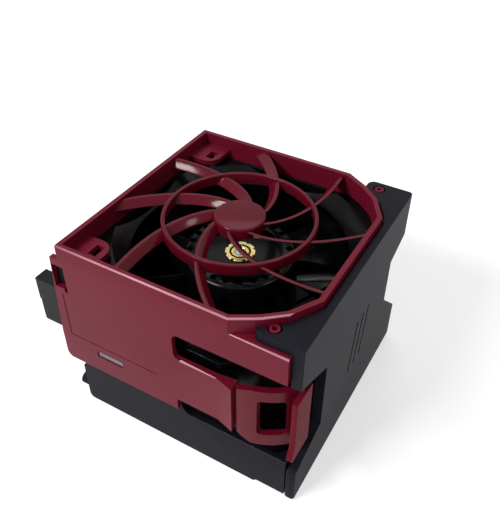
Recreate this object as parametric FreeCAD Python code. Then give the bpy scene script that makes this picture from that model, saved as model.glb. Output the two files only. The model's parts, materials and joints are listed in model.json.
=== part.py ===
import FreeCAD, Part
import math
import os

# Hot-swap server fan module: an axial fan in a plastic carrier with a squeeze latch.
#
# The module stands on its outlet face. +Z runs up the rotor's axis to the inlet guard,
# -Y is the face with the latch, +X is the plain side wall and -X carries the connector.
# The origin is on the rotor's axis, in the outlet face. Lengths are in millimetres.

V = FreeCAD.Vector

# ---- clearances ----
SLIP = 0.1             # between moulded parts that drop into each other
SEAT = 0.05            # between round parts of one body that are pressed or glued
RUNNING = 0.08         # radial, between the fixed and turning races
OVERCUT = 1.0          # how far a cutter runs past the faces that it opens

# ---- fan frame ----
FAN_SIDE = 60.0
FAN_DEPTH = 38.0
FAN_BASE = 14.2        # height of the fan's outlet face above the module's base
FAN_HALF = FAN_SIDE / 2
FAN_TOP = FAN_BASE + FAN_DEPTH
FAN_HOLE_EDGE = 5.0    # from the fan's side to a corner hole
HOLE_AT = FAN_HALF - FAN_HOLE_EDGE
FAN_HOLE_RADIUS = 2.15
FAN_CORNER = 3.5
BARREL_WALL = 1.3
BARREL_EDGE = 0.1      # from the barrel's outside to the fan's side
BORE_RADIUS = FAN_HALF - BARREL_EDGE - BARREL_WALL
INLET_FLANGE = 3.5
OUTLET_FLANGE = 2.8
FLARE_RADIUS = FAN_HALF + 2.5
FLARE_DEPTH = 4.0
FLARE_EDGE = 0.8       # rim left at the middle of each side of the flared inlet
HUB_RADIUS = 15.4
BASE_RADIUS = HUB_RADIUS
BASE_THICK = 2.2
VANE_COUNT = 9
STATOR_VANE_HEIGHT = 7.5
STATOR_VANE_THICK = 1.2
STATOR_VANE_LEAN = 5.0
CHANNEL_HEIGHT = 3.6
CHANNEL_WIDTH = 4.4

# ---- inlet cover: plan sizes from the fan's side, heights from its inlet face ----
MODULE_HEIGHT = FAN_TOP + 5.8
COVER_LEFT = -(FAN_HALF + 1.5)
COVER_FRONT = -(FAN_HALF + 3.0)
COVER_BACK = FAN_HALF + 2.0
RIM_RIGHT = FAN_HALF + 1.8
RIM_WALL = 1.3
RIM_CUT_START = 15.3   # from the right wall to where each chamfer leaves the front or back
RIM_CUT_NEAR = 9.2
RIM_CUT_NEAR_IN = 3.6  # from the front or back to the first bend in each chamfer
RIM_CUT_MID = 4.4
RIM_CUT_MID_IN = 7.6   # from the front or back to the second bend
RIM_CUT_END = 15.0
PANEL_THICK = 1.4
PANEL_FOOT = 17.5
DECK_TOP = FAN_TOP + 1.2
DECK_THICK = 1.0
DECK_BACK = COVER_BACK + 1.4
SKIRT_FOOT = DECK_TOP - 8.4
TAB_TOP = DECK_TOP + 1.2
TAB_THICK = 1.4
TAB_RADIUS = 4.0
TAB_CENTRE_X = 4.4     # from the rim's left wall to the centre of the tab's nose
TAB_CENTRE_Y = 5.1     # from the rim's front or back wall to that centre
TAB_HOLE = (2.3, 3.7)
TAB_HOLE_X = 5.4
TAB_HOLE_Y = 5.3
FLANGE_REACH = 4.1
FLANGE_TOP = DECK_TOP + 0.1
FLANGE_LEAN = 1.5
FLANGE_CORNER = 2.0
FLANGE_WINDOW = (3.7, 7.2)
FLANGE_WINDOW_TOP = FLANGE_TOP - 2.2
FLANGE_WINDOW_DEEP = 4.2
FLANGE_WINDOW_STEP = (0.9, 1.1)
SLOT_LEFT = 1.1
SLOT_TOP = DECK_TOP - 8.2
SLOT_CORNER = 1.9
GROOVE = 0.35
GROOVE_DEEP = 0.15
GROOVE_TOP = FLANGE_WINDOW_TOP - 9.1
GROOVE_FOOT = 27.5
GROOVE_RIGHT = -4.4
GROOVE_IN = 1.0        # how far the upright groove stands left of the module's side
SNAP_SLOT = (8.3, 2.1)
SNAP_SLOT_CENTRE = (-20.0, 24.2)
PIN_RADIUS = 1.25
PIN_BORE = 0.65
PIN_INSET = (3.8, 3.0)  # from the bracket's nose and from its front or back edge

# ---- thumb tongue ----
TONGUE_TOP = DECK_TOP - 16.4
TONGUE_FOOT = 21.5
LATCH_START = FAN_HALF - 11.2  # where the bowed leaf of the latch begins
LIP_END = LATCH_START - 0.9
LIP_START = LIP_END - 4.9
LIP_PROUD = 1.4
LIP_DEPTH = 3.4

# ---- finger guard ----
GUARD_HUB_RADIUS = 6.65
GUARD_HUB_THICK = 3.0
GUARD_RING_RADIUS = 20.0
GUARD_RING_WALL = 1.1
GUARD_RING_HEIGHT = 3.2
GUARD_VANES = 8
GUARD_VANE_TOP = MODULE_HEIGHT - 0.7
GUARD_VANE_HEIGHT = 2.0
GUARD_VANE_THICK = 1.05
GUARD_VANE_LEAN = 2.0
GUARD_VANE_SWEEP = 32.8
GUARD_VANE_START = -176.0
GUARD_VANE_STEPS = 8   # straight runs that follow each vane's spiral

# ---- side wall ----
SIDE_THICK = 2.7
SIDE_INNER = FAN_HALF + 1.55
SIDE_OUTER = SIDE_INNER + SIDE_THICK
SIDE_FRONT = COVER_FRONT + 1.2
SIDE_BACK = COVER_BACK + 2.4
SIDE_LUG = SIDE_BACK + 1.2
SIDE_FOOT = 0.9
BRACKET_TOP = MODULE_HEIGHT - 1.8
BRACKET_THICK = 2.6
BRACKET_GAP = 0.5
BRACKET_GAP_BACK = 1.1
BRACKET_NOSE = FAN_HALF - 8.2
BRACKET_NOSE_RADIUS = 2.0
BRACKET_HOLE = 1.7
BRACKET_CORNER = 1.0
WINDOW_TOP = DECK_TOP - 9.6
WINDOW_BACK = SIDE_FRONT + 13.9
WINDOW_BACK_DROP = 5.9
WINDOW_TOP_START = 1.5
WINDOW_FOOT = 16.3
POST_TOP = 12.9
POST_DEPTH = 2.9
POST_ROUND = 1.2
NOTCH_TOP = 43.0
NOTCH_TOP_IN = 39.4
NOTCH_DEPTH = SIDE_BACK - 10.6
NOTCH_FOOT_IN = 25.0
NOTCH_FOOT = 13.5
RIB_SLOTS = 3
RIB_SLOT_PITCH = 3.7
RIB_SLOT_FIRST = 8.6
RIB_SLOT_TOP = 36.0
RIB_SLOT_LENGTH = 17.0
RIB_SLOT_WIDTH = 0.8
RIB_SLOT_DEEP = 1.2
RIB_SLOT_LEAN = 9.0

# ---- carrier tray ----
TRAY_WALL = 1.4
TRAY_LEFT_PROUD = 0.8  # how far the tray's foot stands out past the cover's left side
TRAY_LEFT_TOP = 13.6
TRAY_CORNER = 1.6
TRAY_TOP = 14.7
TRAY_FLOOR = 1.6
TRAY_FRONT_HIGH = 27.0
TRAY_STEP = 2.9
TRAY_BACK_TOP = FAN_TOP - 8.2
DUCT_RADIUS = BORE_RADIUS - 1.0
DUCT_WALL = 1.2
POST_HALF = 4.4
PEG_RADIUS = 1.9
PEG_LENGTH = 2.4
PEG_HEIGHT = 5.4
PEG_SIDES = 8
RISER_TOP = SKIRT_FOOT - 1.0
RISER_BACK = 16.0      # from the fan's middle towards the latch face
SNAP_PROUD = 1.1
STOP_LEFT = 2.7        # block behind the flange's window
STOP_DEPTH = 3.0
STOP_TOP = FLANGE_TOP - 1.5
FOOT_NOTCH = 9.0

# ---- outlet guard ----
OUTLET_RINGS = (0.45, 0.73)
OUTLET_BAR = 1.1
OUTLET_THICK = 1.6
OUTLET_SPOKES = 4
OUTLET_DISC = 5.0
OUTLET_SIDES = 24      # sides of the guard's rings

# ---- latch ----
TAB_PLATE_LEFT = FAN_HALF + 2.35
TAB_PLATE_THICK = 1.5
TAB_PLATE_FRONT = COVER_FRONT + 0.4
TAB_PLATE_BACK = TAB_PLATE_FRONT + 7.7
TAB_PLATE_TOP = WINDOW_TOP - 4.4
TAB_PLATE_FOOT = 19.0
TAB_TOE = 1.2
TAB_TOE_HEIGHT = 4.0
SPRING_RADIUS = 17.1
SPRING_THICK = 1.6
SPRING_START = (LATCH_START, COVER_FRONT - 0.5)
SPRING_TURN = 43.0
SPRING_TOP = TAB_PLATE_TOP - 0.9
SPRING_FOOT = 18.8
SPRING_TAPER = 3.4
SPRING_TAPER_TOP = 1.3
SPRING_TAPER_FOOT = 2.4
SPRING_WINDOW = (LATCH_START + 5.0, LATCH_START + 11.0)
SPRING_WINDOW_Z = (22.8, SPRING_TOP - 3.4)
SPRING_WINDOW_CORNER = 1.0

# ---- connector ----
PLUG_REACH = 12.4
PLUG_FRONT = COVER_FRONT + 1.6
PLUG_DEPTH = 4.1
PLUG_FOOT = RISER_TOP - 18.3
PLUG_HEIGHT = 15.4
PLUG_STEP = 0.5
PLUG_STEP_HEIGHT = 8.2
CAVITY = 2.2
CAVITY_DEPTH = 3.2
CAVITY_PITCH = 3.6
CAVITY_ROWS = 3
CAVITY_COLUMNS = 2
CONTACT = 0.9

# ---- leads ----
LEAD_RADIUS = 1.2
LEAD_SIDES = 6         # four wires in a sleeve: six flats stand for the round bundle
LEAD_HEIGHT = 19.6
LEAD_ANGLE = 225.0
LEAD_CORNER = BORE_RADIUS + 5.0
LEAD_BEND = 3.2
LEAD_EXIT_Y = COVER_FRONT + 4.1
LEAD_EXIT_Z = PLUG_FOOT + PLUG_HEIGHT / 2

# ---- rotor ----
HUB_TOP = FAN_TOP - 5.3
HUB_ROUND = 1.3
HUB_WALL = HUB_RADIUS * 0.085
HUB_FOOT = FAN_BASE + 8.4
HUB_ROOF = 2.25
HUB_RECESS_RADIUS = HUB_RADIUS - 4.8
HUB_RECESS = 1.4
VENT_COUNT = 24
VENT_RADIUS = 0.95
VENT_RING = HUB_RADIUS - 2.4
VENT_SIDES = 6
VENT_DEEP = 1.5
BLADES = 7
TIP_GAP = 0.55
BLADE_MIDDLE = (HUB_TOP + HUB_FOOT) / 2
BLADE_CHORD = (21.0, 26.5)
BLADE_STAGGER = (34.0, 51.0)
BLADE_CAMBER = 2.6
BLADE_THICK = 1.5
BLADE_SWEEP = 14.0
BLADE_SECTIONS = 4
BLADE_FACETS = 4       # flats that follow each side of a blade's section
YOKE_THICK = 0.9
YOKE_HEIGHT = HUB_TOP - HUB_FOOT - 3.7
MAGNET_THICK = HUB_RADIUS * 0.12
MAGNET_HEIGHT = HUB_TOP - HUB_FOOT - 7.7
MAGNET_FOOT = HUB_FOOT + 1.8
BUSH_RADIUS = 4.1
BUSH_SLEEVE_RADIUS = 3.2
BUSH_COLLAR = 0.45
BUSH_BELOW = 1.5       # sleeve length below the hub's roof
BUSH_LOBES = 8
SHAFT_RADIUS = 1.5
SHAFT_FOOT = FAN_BASE + 2.1

# ---- bearings ----
BEARING_RADIUS = 3.5
BEARING_WIDTH = 3.0
INNER_RACE_WALL = 0.6
LOWER_BEARING = FAN_BASE + 4.2
UPPER_BEARING = HUB_TOP - 9.9
TUBE_WALL = 1.0
TUBE_TOP_LIP = 0.2
CLIP_THICK = 0.4
CLIP_RADIUS = 2.6
CLIP_GROOVE = 0.4
SPRING_WIRE = 0.4
SPRING_COILS = 2.5

# ---- stator ----
AIR_GAP = 0.4
TEETH = 6
TOOTH_WIDTH = 2.2
SHOE_THICK = HUB_RADIUS * 0.08
SLOT_OPENING = 2.0
CORE_BACK = HUB_RADIUS * 0.105
CORE_FOOT = MAGNET_FOOT + 1.6
CORE_HEIGHT = MAGNET_HEIGHT - 6.5
COIL_THICK = 1.2
COIL_ROOM = 0.7        # insulation between the core and the winding
BOARD_HEIGHT = FAN_BASE + 7.4
BOARD_THICK = 0.8
BOARD_RADIUS = BASE_RADIUS - 3.2
BOARD_SIDES = 8
CHIP = (3.8, 3.0, 1.1)

# ---- what follows from the sizes above ----
PANEL_BACK = COVER_FRONT + PANEL_THICK
PANEL_RIGHT = SIDE_INNER - 3 * SLIP
TRAY_FRONT = PANEL_BACK + SLIP
TRAY_RIGHT = SIDE_INNER - 2 * SLIP
TRAY_LEFT = COVER_LEFT - TRAY_LEFT_PROUD
STOP_FOOT = PLUG_FOOT + PLUG_HEIGHT + 2 * SLIP
YOKE_RADIUS = HUB_RADIUS - HUB_WALL - SEAT
HUB_CEILING = HUB_TOP - HUB_ROOF
YOKE_TOP = HUB_CEILING - SEAT
MAGNET_RADIUS = YOKE_RADIUS - YOKE_THICK - SEAT
CORE_RADIUS = MAGNET_RADIUS - MAGNET_THICK - AIR_GAP
TUBE_RADIUS = BEARING_RADIUS + SEAT + TUBE_WALL
INNER_RACE_RADIUS = SHAFT_RADIUS + SEAT / 2 + INNER_RACE_WALL
BUSH_TOP = HUB_TOP - HUB_RECESS + BUSH_COLLAR
BUSH_FOOT = HUB_CEILING - BUSH_BELOW
UPPER_BEARING_TOP = UPPER_BEARING + BEARING_WIDTH
TAB_PLATE_RIGHT = TAB_PLATE_LEFT + TAB_PLATE_THICK


def box(x0, x1, y0, y1, z0, z1):
    return Part.makeBox(x1 - x0, y1 - y0, z1 - z0, V(x0, y0, z0))


def rod(radius, z0, z1, x=0.0, y=0.0):
    return Part.makeCylinder(radius, z1 - z0, V(x, y, z0))


def tube(outer, inner, z0, z1):
    return rod(outer, z0, z1).cut(rod(inner, z0, z1))


def face_of(points):
    return Part.Face(Part.makePolygon(points + points[:1]))


def prism(points, z0, z1):
    return face_of([V(x, y, z0) for x, y in points]).extrude(V(0, 0, z1 - z0))


def plate_xz(points, y0, y1):
    return face_of([V(x, y0, z) for x, z in points]).extrude(V(0, y1 - y0, 0))


def plate_yz(points, x0, x1):
    return face_of([V(x0, y, z) for y, z in points]).extrude(V(x1 - x0, 0, 0))


def many_sided(radius, sides, z0, z1, x=0.0, y=0.0):
    turns = [2 * math.pi * (side + 0.5) / sides for side in range(sides)]
    return prism([(x + radius * math.cos(turn), y + radius * math.sin(turn)) for turn in turns],
                 z0, z1)


def plate_of(edges, step):
    """Flat plate from a closed chain of edges, made as thick as step."""
    return Part.Face(Part.Wire(edges)).extrude(step)


def corner_arc(corner, before, after, radius):
    """Tangent arc that rounds a right-angled corner, with its two ends."""
    u = (before - corner).normalize()
    w = (after - corner).normalize()
    middle = corner + (u + w) * (radius * (1 - math.sqrt(0.5)))
    return Part.Arc(corner + u * radius, middle, corner + w * radius).toShape()


def revolved(points):
    """Solid of revolution about the rotor's axis from a closed outline of (radius, height)."""
    return face_of([V(r, 0, z) for r, z in points]).revolve(V(0, 0, 0), V(0, 0, 1), 360)


def turned(shape, degrees):
    copy = shape.copy()
    copy.rotate(V(0, 0, 0), V(0, 0, 1), degrees)
    return copy


def around(shape, count, first=0.0):
    return [turned(shape, first + step * 360.0 / count) for step in range(count)]


def joined(shapes):
    return shapes[0].multiFuse(shapes[1:]).removeSplitter()


def cut_all(shape, cutters):
    for cutter in cutters:
        shape = shape.cut(cutter)
    return shape


def rounded(shape, radius, chosen):
    edges = [edge for edge in shape.Edges if chosen(edge)]
    return shape.makeFillet(radius, edges)


def upright(edge):
    box_of = edge.BoundBox
    return box_of.XLength < 1e-6 and box_of.YLength < 1e-6


def save(name, solids):
    Part.makeCompound(solids).exportStep("parts/%s.step" % name)


def fan_corners():
    return [(x * HOLE_AT, y * HOLE_AT) for x in (-1, 1) for y in (-1, 1)]


# ---- inlet cover ----
def rim_outline(inset):
    """Outer line of the rim, moved inwards by inset: square on the left, chamfered on the right."""
    front, back = COVER_FRONT, COVER_BACK
    points = [
        V(COVER_LEFT, front, 0),
        V(RIM_RIGHT - RIM_CUT_START, front, 0),
        V(RIM_RIGHT - RIM_CUT_NEAR, front + RIM_CUT_NEAR_IN, 0),
        V(RIM_RIGHT - RIM_CUT_MID, front + RIM_CUT_MID_IN, 0),
        V(RIM_RIGHT, front + RIM_CUT_END, 0),
        V(RIM_RIGHT, back - RIM_CUT_END, 0),
        V(RIM_RIGHT - RIM_CUT_MID, back - RIM_CUT_MID_IN, 0),
        V(RIM_RIGHT - RIM_CUT_NEAR, back - RIM_CUT_NEAR_IN, 0),
        V(RIM_RIGHT - RIM_CUT_START, back, 0),
        V(COVER_LEFT, back, 0),
    ]
    wire = Part.makePolygon(points + points[:1])
    if inset:
        wire = wire.makeOffset2D(-inset, 2)
    return wire


def rim_prism(inset, z0, z1):
    face = Part.Face(rim_outline(inset))
    face.translate(V(0, 0, z0))
    return face.extrude(V(0, 0, z1 - z0))


def corner_tab(side):
    """Round-nosed lug in a left corner of the rim; side is -1 at the front and 1 at the back."""
    wall = (COVER_FRONT if side < 0 else COVER_BACK) - side * RIM_WALL
    x = COVER_LEFT + RIM_WALL + TAB_CENTRE_X
    y = wall - side * TAB_CENTRE_Y
    z0, z1 = TAB_TOP - TAB_THICK, TAB_TOP
    outer = wall + side * RIM_WALL / 2
    low, high = sorted((y, outer))
    deep, far = sorted((y - side * TAB_RADIUS, outer))
    lug = joined([rod(TAB_RADIUS, z0, z1, x, y),
                  box(x - TAB_RADIUS, x + TAB_RADIUS, low, high, z0, z1),
                  box(COVER_LEFT + RIM_WALL / 2, x, deep, far, z0, z1)])
    wide, tall = TAB_HOLE
    hole_x = COVER_LEFT + RIM_WALL + TAB_HOLE_X
    hole_y = wall - side * TAB_HOLE_Y
    hole = box(hole_x - wide / 2, hole_x + wide / 2, hole_y - tall / 2, hole_y + tall / 2,
               z0 - OVERCUT, z1 + OVERCUT)
    return lug.cut(hole).common(rim_prism(RIM_WALL / 2, z0 - OVERCUT, z1 + OVERCUT))


def pin_places():
    across, along = PIN_INSET
    return [(BRACKET_NOSE + across, SIDE_FRONT + along),
            (BRACKET_NOSE + across, SIDE_BACK - along)]


def front_panel():
    """Face with the latch slot; its left end runs out as a flange beyond the module's side."""
    flange = COVER_LEFT - FLANGE_REACH
    chamfer = RIM_RIGHT - RIM_CUT_START
    outline = [(flange, PANEL_FOOT + FLANGE_CORNER), (flange + FLANGE_CORNER, PANEL_FOOT),
               (SLOT_LEFT, PANEL_FOOT), (SLOT_LEFT, SLOT_TOP), (PANEL_RIGHT, SLOT_TOP),
               (PANEL_RIGHT, DECK_TOP), (chamfer, DECK_TOP), (chamfer, MODULE_HEIGHT),
               (COVER_LEFT, MODULE_HEIGHT), (COVER_LEFT, FLANGE_TOP),
               (flange + FLANGE_LEAN, FLANGE_TOP), (flange, GROOVE_FOOT)]
    points = [V(x, COVER_FRONT, z) for x, z in outline]
    bend = corner_arc(V(flange, COVER_FRONT, PANEL_FOOT), points[0], points[1], FLANGE_CORNER)
    sides = [Part.LineSegment(a, b).toShape() for a, b in zip(points[1:], points[2:] + points[:1])]
    panel = plate_of([bend] + sides, V(0, PANEL_THICK, 0))
    return panel.multiFuse([slot_fillet(SLOT_TOP, -1), slot_fillet(TONGUE_TOP, 1)])


def slot_fillet(height, up):
    """Piece that rounds a left corner of the upper slot; up is 1 at its foot, -1 at its top."""
    centre = height + up * SLOT_CORNER
    low, high = sorted((height, centre))
    corner = box(SLOT_LEFT, SLOT_LEFT + SLOT_CORNER, COVER_FRONT, PANEL_BACK, low, high)
    round_cut = Part.makeCylinder(SLOT_CORNER, PANEL_THICK + 2 * OVERCUT,
                                  V(SLOT_LEFT + SLOT_CORNER, COVER_FRONT - OVERCUT, centre),
                                  V(0, 1, 0))
    return corner.cut(round_cut)


def thumb_tongue():
    """Fixed grip between the two slots; its end flares out as a lip for the thumb."""
    outline = [(SLOT_LEFT, COVER_FRONT), (LIP_START, COVER_FRONT),
               (LIP_END, COVER_FRONT - LIP_PROUD), (LIP_END, COVER_FRONT - LIP_PROUD + LIP_DEPTH),
               (LIP_START, PANEL_BACK), (SLOT_LEFT, PANEL_BACK)]
    return prism(outline, TONGUE_FOOT, TONGUE_TOP)


def panel_grooves():
    left = COVER_LEFT - GROOVE_IN
    face = COVER_FRONT + GROOVE_DEEP
    return [box(left, left + GROOVE, COVER_FRONT - OVERCUT, face, GROOVE_FOOT, GROOVE_TOP),
            box(left, GROOVE_RIGHT, COVER_FRONT - OVERCUT, face, GROOVE_FOOT, GROOVE_FOOT + GROOVE)]


def corner_deck(side):
    """Shelf outside a chamfer of the rim, under the bracket, with its hollow pin."""
    edge = COVER_FRONT if side < 0 else DECK_BACK
    low, high = sorted((edge, (COVER_FRONT if side < 0 else COVER_BACK) - side * RIM_CUT_END))
    shelf = box(RIM_RIGHT - RIM_CUT_START - 2 * RIM_WALL, PANEL_RIGHT, low, high,
                DECK_TOP - DECK_THICK, DECK_TOP)
    x, y = pin_places()[0 if side < 0 else 1]
    pin = rod(PIN_RADIUS, DECK_TOP - DECK_THICK, BRACKET_TOP, x, y)
    return joined([shelf, pin]).cut(rod(PIN_BORE, DECK_TOP, BRACKET_TOP + OVERCUT, x, y))


def inlet_cover():
    rim = rim_prism(0, DECK_TOP - DECK_THICK, MODULE_HEIGHT)
    skirt = box(COVER_LEFT, PANEL_RIGHT, PANEL_BACK, COVER_BACK, SKIRT_FOOT, DECK_TOP)
    skirt = skirt.cut(box(-FAN_HALF - 2 * SLIP, FAN_SIDE, PANEL_BACK - OVERCUT,
                          COVER_BACK - RIM_WALL, SKIRT_FOOT - OVERCUT, DECK_TOP + OVERCUT))
    cover = joined([rim, skirt, front_panel(), corner_deck(-1), corner_deck(1)])
    cover = cover.cut(rim_prism(RIM_WALL, DECK_TOP - DECK_THICK - OVERCUT,
                                MODULE_HEIGHT + OVERCUT))
    cover = joined([cover, thumb_tongue(), corner_tab(-1), corner_tab(1)])
    window_wide, window_tall = FLANGE_WINDOW
    window_left = COVER_LEFT - FLANGE_REACH + FLANGE_LEAN
    window = box(window_left, window_left + window_wide, COVER_FRONT - OVERCUT,
                 COVER_FRONT + FLANGE_WINDOW_DEEP, FLANGE_WINDOW_TOP - window_tall,
                 FLANGE_WINDOW_TOP)
    step_wide, step_tall = FLANGE_WINDOW_STEP
    step = box(window_left + window_wide - step_wide, window_left + window_wide,
               COVER_FRONT - OVERCUT, COVER_FRONT + FLANGE_WINDOW_DEEP,
               FLANGE_WINDOW_TOP - window_tall - step_tall, FLANGE_WINDOW_TOP)
    slot_x, slot_z = SNAP_SLOT_CENTRE
    wide, tall = SNAP_SLOT
    snap_slot = box(slot_x - wide / 2, slot_x + wide / 2, COVER_FRONT - OVERCUT,
                    PANEL_BACK + OVERCUT / 2, slot_z - tall / 2, slot_z + tall / 2)
    return cut_all(cover, [window, step, snap_slot] + panel_grooves())


# ---- finger guard ----
def guard_vane():
    """Blade on a logarithmic spiral, at a constant angle to the radius and leaning evenly."""
    sweep = math.radians(GUARD_VANE_SWEEP)
    half = GUARD_VANE_THICK / 2
    inner = GUARD_HUB_RADIUS - GUARD_VANE_THICK
    reach = math.hypot(COVER_LEFT, COVER_FRONT)

    def angle_at(radius):
        turn = math.tan(sweep) * math.log(radius / GUARD_HUB_RADIUS)
        return math.radians(GUARD_VANE_START) + turn

    def sideways(radius):
        angle = angle_at(radius) + sweep
        return V(-math.sin(angle), math.cos(angle), 0)

    radii = [inner * (reach / inner) ** (step / GUARD_VANE_STEPS)
             for step in range(GUARD_VANE_STEPS + 1)]

    def side(offset):
        return [V(radius * math.cos(angle_at(radius)), radius * math.sin(angle_at(radius)),
                  GUARD_VANE_TOP) + sideways(radius) * offset for radius in radii]

    outline = face_of(side(half) + side(-half)[::-1])
    lean = sideways(GUARD_RING_RADIUS) * GUARD_VANE_LEAN
    return outline.extrude(lean - V(0, 0, GUARD_VANE_HEIGHT))


def finger_guard():
    """Hub disc, middle ring and swirled vanes that end on the rim's inner faces."""
    hub = rod(GUARD_HUB_RADIUS, MODULE_HEIGHT - GUARD_HUB_THICK, MODULE_HEIGHT)
    top_edges = [edge for edge in hub.Edges if edge.BoundBox.ZMin > MODULE_HEIGHT - SLIP]
    hub = hub.makeChamfer(GUARD_VANE_THICK / 3, top_edges)
    ring = tube(GUARD_RING_RADIUS, GUARD_RING_RADIUS - GUARD_RING_WALL,
                MODULE_HEIGHT - GUARD_RING_HEIGHT, MODULE_HEIGHT)
    guard = hub.multiFuse([ring] + around(guard_vane(), GUARD_VANES))
    return guard.common(rim_prism(RIM_WALL, MODULE_HEIGHT - 2 * GUARD_HUB_THICK, MODULE_HEIGHT))


# ---- latch ----
def release_tab():
    """Finger plate that is also the catch: its back edge holds the module in its cage."""
    outline = [(TAB_PLATE_BACK, TAB_PLATE_FOOT), (TAB_PLATE_BACK, TAB_PLATE_TOP),
               (TAB_PLATE_FRONT, TAB_PLATE_TOP),
               (TAB_PLATE_FRONT, TAB_PLATE_FOOT + TAB_TOE_HEIGHT),
               (TAB_PLATE_FRONT - TAB_TOE, TAB_PLATE_FOOT + TAB_TOE),
               (TAB_PLATE_FRONT - TAB_TOE / 2, TAB_PLATE_FOOT)]
    plate = plate_yz(outline, TAB_PLATE_LEFT, TAB_PLATE_RIGHT)
    return rounded(plate, TAB_PLATE_THICK / 3,
                   lambda edge: edge.BoundBox.XLength < SLIP and edge.BoundBox.YLength < SLIP
                   and edge.BoundBox.YMax < TAB_PLATE_FRONT + SLIP)


def spring_profile():
    """Bowed leaf seen from above: an arc, then a straight run into the finger plate."""
    x0, y0 = SPRING_START
    centre = V(x0, y0 + SPRING_RADIUS, 0)

    def at(radius, turn):
        angle = math.radians(turn - 90.0)
        return centre + V(radius * math.cos(angle), radius * math.sin(angle), 0)

    inner = SPRING_RADIUS - SPRING_THICK
    front_end, back_end = at(SPRING_RADIUS, SPRING_TURN), at(inner, SPRING_TURN)
    slope = math.tan(math.radians(SPRING_TURN))
    reach = TAB_PLATE_LEFT

    def run_out(point):
        return V(reach, point.y + (reach - point.x) * slope, 0)

    edges = [Part.Arc(at(SPRING_RADIUS, 0), at(SPRING_RADIUS, SPRING_TURN / 2), front_end).toShape(),
             Part.LineSegment(front_end, run_out(front_end)).toShape(),
             Part.LineSegment(run_out(front_end), run_out(back_end)).toShape(),
             Part.LineSegment(run_out(back_end), back_end).toShape(),
             Part.Arc(back_end, at(inner, SPRING_TURN / 2), at(inner, 0)).toShape(),
             Part.LineSegment(at(inner, 0), at(SPRING_RADIUS, 0)).toShape()]
    return Part.Face(Part.Wire(edges))


def latch_spring():
    """The bowed leaf with its window, and the short web that ties it to the thumb tongue."""
    profile = spring_profile()
    profile.translate(V(0, 0, SPRING_FOOT))
    leaf = profile.extrude(V(0, 0, SPRING_TOP - SPRING_FOOT))
    x0, y0 = SPRING_START
    front, back = y0 - SPRING_RADIUS, y0 + SPRING_RADIUS
    foot_cut = [(x0 - OVERCUT, SPRING_FOOT - OVERCUT), (x0 + SPRING_TAPER, SPRING_FOOT - OVERCUT),
                (x0 + SPRING_TAPER, SPRING_FOOT), (x0, SPRING_FOOT + SPRING_TAPER_FOOT),
                (x0 - OVERCUT, SPRING_FOOT + SPRING_TAPER_FOOT)]
    top_cut = [(x0 - OVERCUT, SPRING_TOP + OVERCUT), (x0 + SPRING_TAPER, SPRING_TOP + OVERCUT),
               (x0 + SPRING_TAPER, SPRING_TOP), (x0, SPRING_TOP - SPRING_TAPER_TOP),
               (x0 - OVERCUT, SPRING_TOP - SPRING_TAPER_TOP)]
    window = box(SPRING_WINDOW[0], SPRING_WINDOW[1], front, back, *SPRING_WINDOW_Z)
    window = rounded(window, SPRING_WINDOW_CORNER,
                     lambda edge: edge.BoundBox.XLength < SLIP and edge.BoundBox.ZLength < SLIP)
    leaf = cut_all(leaf, [plate_xz(foot_cut, front, back), plate_xz(top_cut, front, back), window])
    leaf = leaf.cut(box(x0 - OVERCUT, FAN_SIDE, TAB_PLATE_BACK, back, SPRING_FOOT, SPRING_TOP))
    lip_back = COVER_FRONT - LIP_PROUD + LIP_DEPTH
    web = box(LIP_END, x0 + SPRING_THICK / 2, y0 + SPRING_THICK / 2, y0 + SPRING_THICK,
              TONGUE_FOOT + SLIP, TONGUE_TOP - SLIP)
    web = web.common(box(LIP_END, x0 + SPRING_THICK, front, lip_back, SPRING_FOOT, SPRING_TOP))
    return joined([leaf, web])


# ---- side wall ----
def bracket(side):
    """Round-nosed corner plate over the rim's chamfer; side is -1 at the front, 1 at the back."""
    edge = SIDE_FRONT if side < 0 else SIDE_BACK
    gap_end = (COVER_FRONT if side < 0 else COVER_BACK) - side * RIM_CUT_END
    z0, z1 = BRACKET_TOP - BRACKET_THICK, BRACKET_TOP
    nose_x = BRACKET_NOSE + BRACKET_NOSE_RADIUS
    nose_y = edge - side * BRACKET_NOSE_RADIUS
    low, high = sorted((edge, gap_end))
    arm = box(nose_x, SIDE_OUTER, low, high, z0, z1)
    nose = rod(BRACKET_NOSE_RADIUS, z0, z1, nose_x, nose_y)
    low, high = sorted((nose_y, gap_end))
    filler = box(BRACKET_NOSE, nose_x, low, high, z0, z1)
    plate = joined([arm, nose, filler])
    gap = BRACKET_GAP if side < 0 else BRACKET_GAP_BACK
    return plate.cut(rim_prism(-gap, z0 - OVERCUT, z1 + OVERCUT))


def rib_slot(step):
    y = RIB_SLOT_FIRST - step * RIB_SLOT_PITCH
    slot = box(SIDE_OUTER - RIB_SLOT_DEEP, SIDE_OUTER + OVERCUT, y - RIB_SLOT_WIDTH / 2,
               y + RIB_SLOT_WIDTH / 2, RIB_SLOT_TOP - RIB_SLOT_LENGTH, RIB_SLOT_TOP)
    slot.rotate(V(SIDE_OUTER, y, RIB_SLOT_TOP), V(1, 0, 0), -RIB_SLOT_LEAN)
    return slot


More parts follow.
